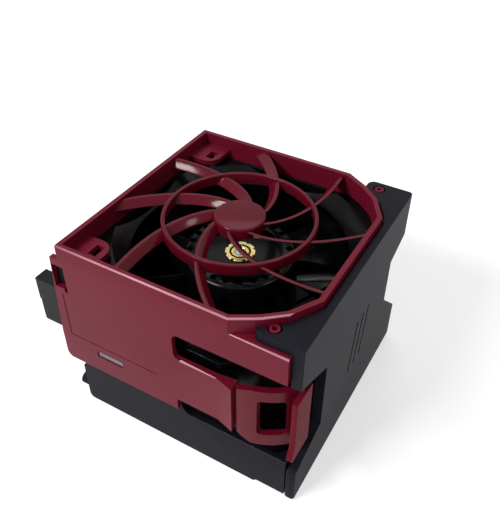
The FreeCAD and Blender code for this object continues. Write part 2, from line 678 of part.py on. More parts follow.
def side_outline():
    """Edge of the wall seen from the side, with the catch window and the finger notch."""
    return [(SIDE_FRONT, SIDE_FOOT), (SIDE_FRONT, POST_TOP - POST_ROUND),
            (SIDE_FRONT + POST_ROUND / 3, POST_TOP - POST_ROUND / 3),
            (SIDE_FRONT + POST_ROUND, POST_TOP), (SIDE_FRONT + POST_DEPTH, POST_TOP),
            (WINDOW_BACK, WINDOW_FOOT), (WINDOW_BACK, WINDOW_TOP - WINDOW_BACK_DROP),
            (SIDE_FRONT + WINDOW_TOP_START, WINDOW_TOP), (SIDE_FRONT, WINDOW_TOP),
            (SIDE_FRONT, BRACKET_TOP), (SIDE_BACK, BRACKET_TOP), (SIDE_BACK, NOTCH_TOP),
            (NOTCH_DEPTH, NOTCH_TOP_IN), (NOTCH_DEPTH, NOTCH_FOOT_IN),
            (SIDE_LUG, NOTCH_FOOT), (SIDE_LUG, SIDE_FOOT)]


def side_wall():
    """Plain wall on +X with the catch window, the finger notch behind and two top brackets."""
    strip_inner = RIM_RIGHT + BRACKET_GAP
    wall = plate_yz(side_outline(), SIDE_INNER, SIDE_OUTER)
    relief = box(SIDE_INNER - OVERCUT, strip_inner, SIDE_FRONT + TRAY_WALL, SIDE_LUG + OVERCUT,
                 DECK_TOP - DECK_THICK - 2 * SLIP, BRACKET_TOP - BRACKET_THICK)
    above = box(SIDE_INNER - OVERCUT, strip_inner, COVER_FRONT + RIM_CUT_END,
                COVER_BACK - RIM_CUT_END, DECK_TOP - DECK_THICK, BRACKET_TOP + OVERCUT)
    wall = joined([wall.cut(relief).cut(above), bracket(-1), bracket(1)])
    wall = wall.cut(rim_prism(-BRACKET_GAP, DECK_TOP, BRACKET_TOP + OVERCUT))
    wall = rounded(wall, BRACKET_CORNER, lambda edge: upright(edge)
                   and edge.BoundBox.XMin > SIDE_OUTER - SLIP
                   and edge.BoundBox.YMin > SIDE_BACK - SLIP
                   and edge.BoundBox.ZMax > BRACKET_TOP - SLIP)
    pin_holes = [rod(BRACKET_HOLE, BRACKET_TOP - 2 * BRACKET_THICK, BRACKET_TOP + OVERCUT, x, y)
                 for x, y in pin_places()]
    return cut_all(wall, pin_holes + [rib_slot(step) for step in range(RIB_SLOTS)])


# ---- carrier tray ----
def tray_front():
    """Front wall, high behind the cover's panel and low under the latch."""
    y = TRAY_FRONT
    corner = V(TRAY_LEFT, y, 0)
    shoulder = V(SLOT_LEFT, y, TRAY_TOP)
    outline = [V(TRAY_LEFT + TRAY_CORNER, y, 0), V(TRAY_RIGHT - FOOT_NOTCH, y, 0),
               V(TRAY_RIGHT - FOOT_NOTCH + SIDE_FOOT, y, SIDE_FOOT), V(TRAY_RIGHT, y, SIDE_FOOT),
               V(TRAY_RIGHT, y, TRAY_TOP), V(SLOT_LEFT + TRAY_STEP, y, TRAY_TOP)]
    left_side = [V(SLOT_LEFT, y, TRAY_TOP + TRAY_STEP), V(SLOT_LEFT, y, TRAY_FRONT_HIGH),
                 V(COVER_LEFT, y, TRAY_FRONT_HIGH), V(COVER_LEFT, y, TRAY_LEFT_TOP),
                 V(TRAY_LEFT, y, TRAY_LEFT_TOP), V(TRAY_LEFT, y, TRAY_CORNER)]
    edges = [Part.LineSegment(a, b).toShape() for a, b in zip(outline, outline[1:])]
    edges.append(corner_arc(shoulder, outline[-1], left_side[0], TRAY_STEP))
    edges += [Part.LineSegment(a, b).toShape() for a, b in zip(left_side, left_side[1:])]
    edges.append(corner_arc(corner, left_side[-1], outline[0], TRAY_CORNER))
    return plate_of(edges, V(0, TRAY_WALL, 0))


def flange_stop():
    """Block outside the riser that fills the flange's window from behind."""
    front = TRAY_FRONT
    back = front + STOP_DEPTH
    block = box(COVER_LEFT - STOP_LEFT, COVER_LEFT - SLIP, front, back, STOP_FOOT, STOP_TOP)
    return block.fuse(box(COVER_LEFT - SLIP, COVER_LEFT + RIM_WALL, front, back,
                          STOP_FOOT, RISER_TOP))


def carrier_tray():
    """Open tray that carries the fan on its duct and corner posts."""
    inner_front = TRAY_FRONT + TRAY_WALL
    walls = box(COVER_LEFT, TRAY_RIGHT, TRAY_FRONT, COVER_BACK, 0, TRAY_TOP)
    walls = walls.cut(box(COVER_LEFT + TRAY_WALL, TRAY_RIGHT - TRAY_WALL, inner_front,
                          COVER_BACK - TRAY_WALL, TRAY_FLOOR, TRAY_TOP + OVERCUT))
    walls = walls.cut(box(COVER_LEFT - OVERCUT, FAN_SIDE, TRAY_FRONT - OVERCUT, inner_front,
                          -OVERCUT, TRAY_TOP + OVERCUT))
    back_wall = box(-FAN_HALF / 2, FAN_HALF / 2, COVER_BACK - TRAY_WALL, COVER_BACK,
                    TRAY_TOP, TRAY_BACK_TOP)
    riser = box(COVER_LEFT, COVER_LEFT + RIM_WALL, inner_front, -RISER_BACK, 0, RISER_TOP)
    front_riser = box(COVER_LEFT, COVER_LEFT + RIM_WALL, TRAY_FRONT, inner_front,
                      TRAY_FRONT_HIGH, RISER_TOP)
    left_pad = box(TRAY_LEFT, COVER_LEFT, inner_front, COVER_BACK, TRAY_FLOOR, TRAY_LEFT_TOP)
    duct = rod(DUCT_RADIUS + DUCT_WALL, 0, FAN_BASE)
    room = box(COVER_LEFT, TRAY_RIGHT, TRAY_FRONT, COVER_BACK, 0, FAN_BASE)
    near, far = HOLE_AT - POST_HALF, FAN_HALF + TRAY_WALL / 2
    block = box(near, far, near, far, 0, FAN_BASE)
    posts = [post.common(room) for post in around(block, 4)]
    pegs = [many_sided(FAN_HOLE_RADIUS - SLIP, PEG_SIDES, FAN_BASE - OVERCUT,
                       FAN_BASE + OUTLET_FLANGE, x, y) for x, y in fan_corners()]
    peg = Part.makeCylinder(PEG_RADIUS, PEG_LENGTH + TRAY_WALL,
                            V(TRAY_LEFT + TRAY_WALL, TRAY_FRONT + PEG_RADIUS, PEG_HEIGHT),
                            V(-1, 0, 0))
    slot_x, slot_z = SNAP_SLOT_CENTRE
    wide, tall = SNAP_SLOT
    hook = box(slot_x - wide / 2 + SLIP, slot_x + wide / 2 - SLIP, TRAY_FRONT - SNAP_PROUD,
               TRAY_FRONT, slot_z - tall / 2 + SLIP, slot_z + tall / 2 - SLIP)
    tray = joined([walls, tray_front(), back_wall, riser, front_riser, left_pad, duct, peg, hook,
                   flange_stop()] + posts)
    bore = rod(DUCT_RADIUS, -OVERCUT, FAN_BASE + OVERCUT)
    lead_hole = Part.makeCylinder(LEAD_RADIUS + 2 * SLIP, 2 * RIM_WALL + OVERCUT,
                                  V(COVER_LEFT - OVERCUT, LEAD_EXIT_Y, LEAD_EXIT_Z), V(1, 0, 0))
    fan_room = box(-FAN_HALF - SLIP, FAN_HALF + SLIP, -FAN_HALF - SLIP, FAN_HALF + SLIP,
                   FAN_BASE, TRAY_BACK_TOP + OVERCUT)
    return joined([cut_all(tray, [bore, lead_hole, fan_room])] + pegs)


def outlet_guard():
    """Flat finger guard in the mouth of the duct."""
    outer = DUCT_RADIUS - SEAT
    rings = [tube(outer, outer - OUTLET_BAR, 0, OUTLET_THICK)]
    for share in OUTLET_RINGS:
        ring = many_sided(outer * share + OUTLET_BAR, OUTLET_SIDES, 0, OUTLET_THICK)
        rings.append(ring.cut(many_sided(outer * share, OUTLET_SIDES, 0, OUTLET_THICK)))
    spoke = box(0, outer - OUTLET_BAR / 2, -OUTLET_BAR / 2, OUTLET_BAR / 2, 0, OUTLET_THICK)
    disc = many_sided(OUTLET_DISC, OUTLET_SIDES, 0, OUTLET_THICK)
    return joined([disc] + rings + around(spoke, OUTLET_SPOKES))


# ---- fan frame ----
def stator_vane():
    """Outlet guide vane from the motor base to the barrel, leaning against the swirl."""
    inner, outer = BASE_RADIUS - OVERCUT, BORE_RADIUS + BARREL_WALL / 2
    half = STATOR_VANE_THICK / 2
    z0, z1 = FAN_BASE, FAN_BASE + STATOR_VANE_HEIGHT
    points = [V(inner, -half, z0), V(inner, half, z0),
              V(inner, half - STATOR_VANE_LEAN, z1), V(inner, -half - STATOR_VANE_LEAN, z1)]
    return face_of(points).extrude(V(outer - inner, 0, 0))


def fan_housing():
    """Square-flanged frame: barrel, flared inlet, motor base and outlet vanes."""
    def flange(z0, z1):
        plate = box(-FAN_HALF, FAN_HALF, -FAN_HALF, FAN_HALF, z0, z1)
        return rounded(plate, FAN_CORNER, upright)

    frame = joined([flange(FAN_BASE, FAN_BASE + OUTLET_FLANGE),
                    flange(FAN_TOP - INLET_FLANGE, FAN_TOP),
                    rod(BORE_RADIUS + BARREL_WALL, FAN_BASE, FAN_TOP)])
    flare = Part.makeCone(BORE_RADIUS, FLARE_RADIUS, FLARE_DEPTH, V(0, 0, FAN_TOP - FLARE_DEPTH))
    edge = FAN_HALF - FLARE_EDGE
    flare = flare.common(box(-edge, edge, -edge, edge, FAN_BASE, FAN_TOP))
    frame = cut_all(frame, [rod(BORE_RADIUS, FAN_BASE - OVERCUT, FAN_TOP + OVERCUT), flare])
    lead_turn = LEAD_ANGLE
    vanes = around(stator_vane(), VANE_COUNT, lead_turn)[1:]
    channel = turned(box(BASE_RADIUS - OVERCUT, BORE_RADIUS + BARREL_WALL / 2, -CHANNEL_WIDTH / 2,
                         CHANNEL_WIDTH / 2, FAN_BASE, FAN_BASE + CHANNEL_HEIGHT), lead_turn)
    base = rod(BASE_RADIUS, FAN_BASE, FAN_BASE + BASE_THICK)
    boss = rod(TUBE_RADIUS + TUBE_WALL + SEAT, FAN_BASE, LOWER_BEARING)
    frame = joined([frame, base, boss, channel] + vanes)
    clear_motor = rod(BASE_RADIUS, FAN_BASE + BASE_THICK, FAN_TOP)
    clear_motor = clear_motor.cut(rod(TUBE_RADIUS + TUBE_WALL + SEAT, FAN_BASE, FAN_TOP))
    tube_seat = rod(TUBE_RADIUS + SEAT, FAN_BASE + BASE_THICK / 2, FAN_TOP)
    holes = [rod(FAN_HOLE_RADIUS, FAN_BASE - OVERCUT, FAN_BASE + OUTLET_FLANGE + OVERCUT, x, y)
             for x, y in fan_corners()]
    lead_half = LEAD_RADIUS + 2 * SLIP
    lead_gap = turned(box(BORE_RADIUS - OVERCUT, BORE_RADIUS + BARREL_WALL + OVERCUT, -lead_half,
                          lead_half, FAN_BASE + CHANNEL_HEIGHT, LEAD_HEIGHT + lead_half), lead_turn)
    return cut_all(frame, [clear_motor, tube_seat, lead_gap] + holes)


# ---- motor, fixed half ----
def bearing_tube():
    inner = BEARING_RADIUS + SEAT
    foot = FAN_BASE + BASE_THICK / 2 + SEAT
    sleeve = tube(TUBE_RADIUS, inner, foot, UPPER_BEARING_TOP + TUBE_TOP_LIP)
    shoulder = tube(TUBE_RADIUS - TUBE_WALL / 2, BEARING_RADIUS - TUBE_WALL / 2,
                    LOWER_BEARING + BEARING_WIDTH + SEAT, UPPER_BEARING - SEAT)
    return joined([sleeve, shoulder])


def race(outer, inner, foot):
    """Ring of a shielded ball bearing; the shields hide the balls."""
    return tube(outer, inner, foot, foot + BEARING_WIDTH)


def bearing_feet():
    return (LOWER_BEARING, UPPER_BEARING)


def stator_core():
    """Laminated core with its poles; each pole ends in a curved shoe."""
    z0, z1 = CORE_FOOT, CORE_FOOT + CORE_HEIGHT
    back_in = TUBE_RADIUS + SEAT
    ring = tube(back_in + CORE_BACK, back_in, z0, z1)
    tooth = box(back_in + CORE_BACK / 2, CORE_RADIUS - SHOE_THICK / 2, -TOOTH_WIDTH / 2,
                TOOTH_WIDTH / 2, z0, z1)
    shoes = tube(CORE_RADIUS, CORE_RADIUS - SHOE_THICK, z0, z1)
    slot = box(CORE_RADIUS - 2 * SHOE_THICK, CORE_RADIUS + OVERCUT, -SLOT_OPENING / 2,
               SLOT_OPENING / 2, z0 - OVERCUT, z1 + OVERCUT)
    half_pitch = 180.0 / TEETH
    shoes = cut_all(shoes, around(slot, TEETH, half_pitch))
    return joined([ring, shoes] + around(tooth, TEETH))


def coil():
    """Winding on one tooth, between the core's ring and the shoe."""
    half = TOOTH_WIDTH / 2 + 2 * SLIP
    side = half + COIL_THICK
    inner = TUBE_RADIUS + SEAT + CORE_BACK + SLIP
    outer = math.sqrt((CORE_RADIUS - SHOE_THICK) ** 2 - side ** 2) - SLIP
    low, high = CORE_FOOT - COIL_ROOM, CORE_FOOT + CORE_HEIGHT + COIL_ROOM
    block = box(inner, outer, -side, side, low - COIL_THICK, high + COIL_THICK)
    edges = [edge for edge in block.Edges if edge.BoundBox.XLength > SLIP]
    block = block.makeChamfer(COIL_THICK / 2, edges)
    return block.cut(box(inner - OVERCUT, outer + OVERCUT, -half, half, low, high))


def circuit_board():
    board = many_sided(BOARD_RADIUS, BOARD_SIDES, BOARD_HEIGHT, BOARD_HEIGHT + BOARD_THICK)
    return board.cut(rod(TUBE_RADIUS + SEAT, BOARD_HEIGHT, BOARD_HEIGHT + BOARD_THICK))


def board_chips():
    long, wide, tall = CHIP
    middle = (BOARD_RADIUS + TUBE_RADIUS) / 2 + SLIP
    top = BOARD_HEIGHT - SEAT
    driver = box(middle - wide / 2, middle + wide / 2, -long / 2, long / 2, top - tall, top)
    small = box(middle - wide / 4, middle + wide / 4, -long / 4, long / 4, top - tall, top)
    return [driver] + [turned(small, turn) for turn in (60.0, 120.0, 180.0)]


# ---- rotor ----
def rotor_bush():
    """Brass insert: sleeve in the yoke and a scalloped collar on the hub's face."""
    collar = rod(BUSH_RADIUS, HUB_TOP - HUB_RECESS + SEAT, BUSH_TOP)
    bite = many_sided(BUSH_RADIUS / BUSH_LOBES, BUSH_LOBES, HUB_TOP - HUB_RECESS,
                      BUSH_TOP + OVERCUT, BUSH_RADIUS, 0)
    collar = cut_all(collar, around(bite, BUSH_LOBES))
    sleeve = rod(BUSH_SLEEVE_RADIUS, BUSH_FOOT, BUSH_TOP)
    return joined([collar, sleeve]).cut(rod(SHAFT_RADIUS + SEAT / 2, BUSH_FOOT, BUSH_TOP))


def shaft():
    pin = rod(SHAFT_RADIUS, SHAFT_FOOT, BUSH_TOP)
    clip_z = LOWER_BEARING - 2 * SLIP - CLIP_THICK
    groove = tube(SHAFT_RADIUS + OVERCUT, SHAFT_RADIUS - CLIP_GROOVE, clip_z - SEAT,
                  clip_z + CLIP_THICK + SEAT)
    return pin.cut(groove)


def shaft_clip():
    clip_z = LOWER_BEARING - 2 * SLIP - CLIP_THICK
    ring = tube(CLIP_RADIUS, SHAFT_RADIUS - CLIP_GROOVE + SEAT, clip_z, clip_z + CLIP_THICK)
    return ring.cut(box(0, CLIP_RADIUS, -SHAFT_RADIUS / 2, SHAFT_RADIUS / 2, clip_z, UPPER_BEARING))


def preload_spring():
    """Coil of square wire between the upper bearing's inner race and the bush."""
    low = UPPER_BEARING_TOP + SPRING_WIRE / 2 + SEAT
    high = BUSH_FOOT - SPRING_WIRE / 2 - SEAT
    radius = SHAFT_RADIUS + SPRING_WIRE
    half = SPRING_WIRE / 2
    path = Part.makeHelix((high - low) / SPRING_COILS, high - low, radius)
    corners = [V(radius - half, 0, -half), V(radius + half, 0, -half),
               V(radius + half, 0, half), V(radius - half, 0, half)]
    section = Part.makePolygon(corners + corners[:1])
    spring = Part.Wire(path.Edges).makePipeShell([section], True, True)
    spring.translate(V(0, 0, low))
    return spring


def rotor_yoke():
    """Steel flux ring moulded into the hub, with the magnet inside it."""
    return tube(YOKE_RADIUS, YOKE_RADIUS - YOKE_THICK, YOKE_TOP - YOKE_HEIGHT, YOKE_TOP)


def blade_section(share):
    """Cambered section on a flat plane square to the radius; share runs from root to tip."""
    tip = BORE_RADIUS + OVERCUT
    root = HUB_RADIUS - HUB_WALL - OVERCUT
    radius = root + (tip - root) * share
    chord = BLADE_CHORD[0] + (BLADE_CHORD[1] - BLADE_CHORD[0]) * share
    stagger = math.radians(BLADE_STAGGER[0] + (BLADE_STAGGER[1] - BLADE_STAGGER[0]) * share)
    along = V(0, -math.sin(stagger), math.cos(stagger))
    across = V(0, math.cos(stagger), math.sin(stagger))
    middle = V(radius, 0, BLADE_MIDDLE)
    nose, tail = middle + along * (chord / 2), middle - along * (chord / 2)
    back = middle + across * (BLADE_THICK / 2 - BLADE_CAMBER)
    front = middle - across * (BLADE_THICK / 2 + BLADE_CAMBER)
    points = []
    for bend in ((nose, back, tail), (tail, front, nose)):
        points += Part.Arc(*bend).toShape().discretize(BLADE_FACETS + 1)[:-1]
    turn = FreeCAD.Rotation(V(0, 0, 1), -BLADE_SWEEP * share)
    return [turn.multVec(point) for point in points]


def rough_blade():
    """Twisted blade as a closed shell of flat facets, longer than the final blade at both ends."""
    last = BLADE_SECTIONS - 1
    sections = [blade_section(step / last) for step in range(BLADE_SECTIONS)]
    faces = [face_of(sections[0][::-1]), face_of(sections[-1])]
    for inner, outer in zip(sections, sections[1:]):
        count = len(inner)
        for at in range(count):
            after = (at + 1) % count
            faces.append(face_of([inner[at], inner[after], outer[after]]))
            faces.append(face_of([inner[at], outer[after], outer[at]]))
    blade = Part.Solid(Part.Shell(faces))
    if blade.Volume < 0:
        blade.reverse()
    return blade


def hub_cup():
    """Cup over the motor: softened outer edge, recessed face and a boss for the bush."""
    soft = HUB_ROUND * (1 - math.sqrt(0.5))
    floor = HUB_TOP - HUB_RECESS
    bore = BUSH_SLEEVE_RADIUS + SEAT
    return revolved([(bore, HUB_CEILING), (HUB_RADIUS - HUB_WALL, HUB_CEILING),
                     (HUB_RADIUS - HUB_WALL, HUB_FOOT), (HUB_RADIUS, HUB_FOOT),
                     (HUB_RADIUS, HUB_TOP - HUB_ROUND), (HUB_RADIUS - soft, HUB_TOP - soft),
                     (HUB_RADIUS - HUB_ROUND, HUB_TOP), (HUB_RECESS_RADIUS, HUB_TOP),
                     (HUB_RECESS_RADIUS, floor), (bore, floor)])


def impeller():
    """Moulded hub with its twisted blades and a ring of vents in the face."""
    keep = tube(BORE_RADIUS - TIP_GAP, HUB_RADIUS - HUB_WALL / 2, HUB_FOOT, HUB_TOP)
    blade = rough_blade().common(keep)
    wheel = hub_cup().multiFuse(around(blade, BLADES))
    vent = many_sided(VENT_RADIUS, VENT_SIDES, HUB_TOP - VENT_DEEP, HUB_TOP + OVERCUT, VENT_RING)
    return cut_all(wheel, around(vent, VENT_COUNT))


# ---- connector and leads ----
def cavity_places():
    middle_x = COVER_LEFT - PLUG_REACH * 0.58
    middle_z = PLUG_FOOT + PLUG_HEIGHT / 2
    places = []
    for column in range(CAVITY_COLUMNS):
        for row in range(CAVITY_ROWS):
            places.append((middle_x + (column - (CAVITY_COLUMNS - 1) / 2) * CAVITY_PITCH,
                           middle_z + (row - (CAVITY_ROWS - 1) / 2) * CAVITY_PITCH))
    return places


def connector_housing():
    """Blind-mate plug on the left side; its cavities open away from the latch face."""
    left, right = COVER_LEFT - PLUG_REACH, COVER_LEFT - SEAT
    back = PLUG_FRONT + PLUG_DEPTH
    top = PLUG_FOOT + PLUG_HEIGHT
    block = box(left, right, PLUG_FRONT, back, PLUG_FOOT, top)
    block = rounded(block, PLUG_STEP, lambda edge: edge.BoundBox.XMax < left + SLIP)
    step = box(left - OVERCUT, right + OVERCUT, PLUG_FRONT - OVERCUT, PLUG_FRONT + PLUG_STEP,
               PLUG_FOOT - OVERCUT, PLUG_FOOT + PLUG_STEP_HEIGHT)
    split = PLUG_FOOT + PLUG_STEP_HEIGHT
    groove = box(left + CAVITY, right + OVERCUT, PLUG_FRONT - OVERCUT,
                 PLUG_FRONT + 2 * PLUG_STEP, split - PLUG_STEP, split)
    half = CAVITY / 2
    cavities = [box(x - half, x + half, back - CAVITY_DEPTH, back + OVERCUT, z - half, z + half)
                for x, z in cavity_places()]
    return cut_all(block, [step, groove] + cavities)


def connector_contacts():
    back = PLUG_FRONT + PLUG_DEPTH
    half = CONTACT / 2
    return [box(x - half, x + half, back - CAVITY_DEPTH, back - PLUG_STEP, z - half, z + half)
            for x, z in cavity_places()]


def lead_path():
    """From the motor along its channel, up the frame's open corner and out to the plug."""
    angle = math.radians(LEAD_ANGLE)
    out = V(math.cos(angle), math.sin(angle), 0)
    start = out * (BASE_RADIUS - 2 * LEAD_BEND) + V(0, 0, LEAD_HEIGHT)
    corner = out * LEAD_CORNER + V(0, 0, LEAD_HEIGHT)
    rise = V(corner.x, corner.y, LEAD_EXIT_Z)
    side = V(COVER_LEFT + RIM_WALL + LEAD_BEND, LEAD_EXIT_Y, LEAD_EXIT_Z)
    end = V(COVER_LEFT, LEAD_EXIT_Y, LEAD_EXIT_Z)
    return [start, corner, rise, side, end]


def filleted_wire(points, radius):
    """Straight runs joined by tangent arcs."""
    edges = []
    last = points[0]
    for before, corner, after in zip(points, points[1:], points[2:]):
        u = (before - corner).normalize()
        w = (after - corner).normalize()
        half = u.getAngle(w) / 2
        back = min(radius / math.tan(half), (after - corner).Length * 0.45,
                   (before - corner).Length * 0.45)
        bend = back * math.tan(half)
        start, end = corner + u * back, corner + w * back
        middle = corner + (u + w).normalize() * (bend / math.sin(half) - bend)
        edges.append(Part.LineSegment(last, start).toShape())
        edges.append(Part.Arc(start, middle, end).toShape())
        last = end
    edges.append(Part.LineSegment(last, points[-1]).toShape())
    return Part.Wire(edges)


def lead_bundle():
    points = lead_path()
    path = filleted_wire(points, LEAD_BEND)
    along = (points[1] - points[0]).normalize()
    side = along.cross(V(0, 0, 1))
    turns = [2 * math.pi * corner / LEAD_SIDES for corner in range(LEAD_SIDES)]
    corners = [points[0] + side * (LEAD_RADIUS * math.cos(turn))
               + V(0, 0, LEAD_RADIUS * math.sin(turn)) for turn in turns]
    section = Part.makePolygon(corners + corners[:1])
    return path.makePipeShell([section], True, False)


def build():
    save("inlet_cover", [inlet_cover()])
    save("finger_guard", [finger_guard()])
    save("latch_spring", [latch_spring()])
    save("release_tab", [release_tab()])
    save("side_wall", [side_wall()])
    save("carrier_tray", [carrier_tray()])
    save("outlet_guard", [outlet_guard()])
    save("fan_housing", [fan_housing()])
    save("bearing_tube", [bearing_tube()])
    save("bearing_outer_races", [race(BEARING_RADIUS, INNER_RACE_RADIUS + RUNNING, foot)
                                 for foot in bearing_feet()])
    save("bearing_inner_races", [race(INNER_RACE_RADIUS, SHAFT_RADIUS + SEAT / 2, foot)
                                 for foot in bearing_feet()])
    save("stator_core", [stator_core()])
    save("stator_coils", around(coil(), TEETH))
    save("circuit_board", [circuit_board()])
    save("board_chips", board_chips())
    save("rotor_bush", [rotor_bush()])
    save("shaft", [shaft()])
    save("shaft_clip", [shaft_clip()])
    save("preload_spring", [preload_spring()])
    save("rotor_yoke", [rotor_yoke()])
    save("magnet_ring", [tube(MAGNET_RADIUS, MAGNET_RADIUS - MAGNET_THICK, MAGNET_FOOT,
                              MAGNET_FOOT + MAGNET_HEIGHT)])
    save("impeller", [impeller()])
    save("connector_housing", [connector_housing()])
    save("connector_contacts", connector_contacts())
    save("lead_bundle", [lead_bundle()])


os.makedirs("parts", exist_ok=True)
build()
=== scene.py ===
"""Looks of a hot-swap server fan module: maroon and black mouldings around an axial fan.

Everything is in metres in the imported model's frame: +Z runs up the rotor's axis, -Y is the
face with the latch, +X is the plain side wall and -X carries the plug.
"""
import bmesh
import bpy
import json
import math
from mathutils import Euler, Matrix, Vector


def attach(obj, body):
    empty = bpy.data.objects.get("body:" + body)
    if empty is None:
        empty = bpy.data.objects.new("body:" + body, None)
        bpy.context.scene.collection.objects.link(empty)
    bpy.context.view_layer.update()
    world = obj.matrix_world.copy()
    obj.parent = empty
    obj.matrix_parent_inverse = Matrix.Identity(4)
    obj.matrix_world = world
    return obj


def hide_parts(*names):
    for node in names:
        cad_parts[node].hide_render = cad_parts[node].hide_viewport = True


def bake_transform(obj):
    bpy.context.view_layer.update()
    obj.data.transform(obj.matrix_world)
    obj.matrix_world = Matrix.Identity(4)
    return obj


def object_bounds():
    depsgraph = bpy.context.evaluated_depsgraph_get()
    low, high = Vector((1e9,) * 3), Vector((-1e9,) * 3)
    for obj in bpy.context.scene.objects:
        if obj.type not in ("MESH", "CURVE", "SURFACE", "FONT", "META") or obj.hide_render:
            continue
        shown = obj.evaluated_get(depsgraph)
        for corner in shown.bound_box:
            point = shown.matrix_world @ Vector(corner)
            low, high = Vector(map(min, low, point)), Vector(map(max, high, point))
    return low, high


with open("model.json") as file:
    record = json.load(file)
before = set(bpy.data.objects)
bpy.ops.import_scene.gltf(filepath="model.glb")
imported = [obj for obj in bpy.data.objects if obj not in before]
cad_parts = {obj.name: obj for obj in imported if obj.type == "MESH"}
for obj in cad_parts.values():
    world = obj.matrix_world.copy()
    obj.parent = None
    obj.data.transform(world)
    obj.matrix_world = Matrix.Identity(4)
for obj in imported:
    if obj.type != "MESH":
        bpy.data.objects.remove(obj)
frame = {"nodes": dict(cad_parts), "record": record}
cad_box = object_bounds()

MM = 0.001

# ---- sizes that the repeated pieces follow ----
FAN_TOP = 52.2 * MM
MODULE_HEIGHT = FAN_TOP + 5.8 * MM
RIM_WALL = 1.3 * MM
RIM_SUNK = 0.3 * MM        # how far the guard's vanes run into the rim
RIM_LEFT = -31.5 * MM
RIM_RIGHT = 31.8 * MM
RIM_FRONT = -33.0 * MM
RIM_BACK = 32.0 * MM
RIM_CUTS = ((15.3 * MM, 0.0), (9.2 * MM, 3.6 * MM), (4.4 * MM, 7.6 * MM), (0.0, 15.0 * MM))

GUARD_HUB_RADIUS = 6.65 * MM
GUARD_HUB_THICK = 3.0 * MM
GUARD_RING_RADIUS = 20.0 * MM
GUARD_RING_WALL = 1.1 * MM
GUARD_RING_HEIGHT = 3.2 * MM
VANE_TOP = MODULE_HEIGHT - 0.7 * MM
VANE_THICK = 1.05 * MM
VANE_HEIGHT = 2.0 * MM
VANE_LEAN = 2.0 * MM
VANE_SWEEP = math.radians(32.8)
VANE_START = math.radians(-176.0)
VANE_BEADS = 56            # points along each vane's spiral

BORE_RADIUS = 28.6 * MM
HUB_RADIUS = 15.4 * MM
HUB_TOP = FAN_TOP - 5.3 * MM
HUB_FOOT = 22.6 * MM
HUB_WALL = HUB_RADIUS * 0.085
HUB_CEILING = HUB_TOP - 2.25 * MM
HUB_ROUND = 2.0 * MM
HUB_RECESS = 1.4 * MM
HUB_RECESS_RADIUS = HUB_RADIUS - 4.8 * MM
HUB_BORE = 3.25 * MM
TIP_GAP = 0.55 * MM
BUSH_RADIUS = 4.1 * MM
BUSH_BORE = 1.53 * MM
BUSH_NECK = 3.2 * MM
BLADE_ROOT = HUB_RADIUS - HUB_WALL - 1.0 * MM
BLADE_TIP = BORE_RADIUS + 1.0 * MM

DUCT_MOUTH = BORE_RADIUS - 1.05 * MM
OUTLET_BAR = 1.1 * MM
OUTLET_THICK = 1.6 * MM
OUTLET_RINGS = (1.0, 0.77, 0.49)   # each ring's radius as a share of the outermost

# ---- where the front edges carry a painted highlight ----
HIGHLIGHT_ROUND = 0.38 * MM
HIGHLIGHT_EDGE_LENGTH = 5 * MM     # shorter edges get no painted highlight
HIGHLIGHT_FACE_AREA = 15 * MM * MM
HIGHLIGHT_FRONT_Y = -27 * MM       # the front of the module lies beyond this Y
RIM_FOOT = FAN_TOP + 2 * MM
HIGHLIGHT_FROM_X = -34 * MM       # the painted highlight grows from the plug's corner to the finger slot
HIGHLIGHT_FULL_X = -12 * MM

# ---- toe of the side wall ----
TOE_ROUND = 0.8 * MM
TOE_SIDE = 31.52 * MM
TOE_BACK = -28.5 * MM
TOE_TOP = 13.5 * MM

# ---- stage ----
FLOOR_HALF = 1.5
FLOOR_GAP = 0.02 * MM      # keeps the floor clear of the module's foot
FLOOR_GLOW = 0.56
SKY_LEVEL = 0.34


# ---- nodes ----
def add(tree, kind, inputs=(), **settings):
    """Adds a node, sets its properties, and fills or links the inputs named (or numbered) in
    inputs."""
    made = tree.nodes.new(kind)
    for name, value in settings.items():
        setattr(made, name, value)
    for key, value in dict(inputs).items():
        if isinstance(value, bpy.types.NodeSocket):
            tree.links.new(value, made.inputs[key])
        else:
            made.inputs[key].default_value = value
    return made


def hex_colour(text):
    """sRGB hex to linear RGBA."""
    values = [int(text[at:at + 2], 16) / 255 for at in (1, 3, 5)]
    return [v / 12.92 if v <= 0.04045 else ((v + 0.055) / 1.055) ** 2.4 for v in values] + [1.0]


def new_material(name):
    """Material with an empty node tree."""
    material = bpy.data.materials.new(name)
    material.use_nodes = True
    material.node_tree.nodes.clear()
    return material, material.node_tree


def finish_material(tree, shader):
    """Joins a shader to the material's surface."""
    add(tree, "ShaderNodeOutputMaterial", {"Surface": shader.outputs["BSDF"]})


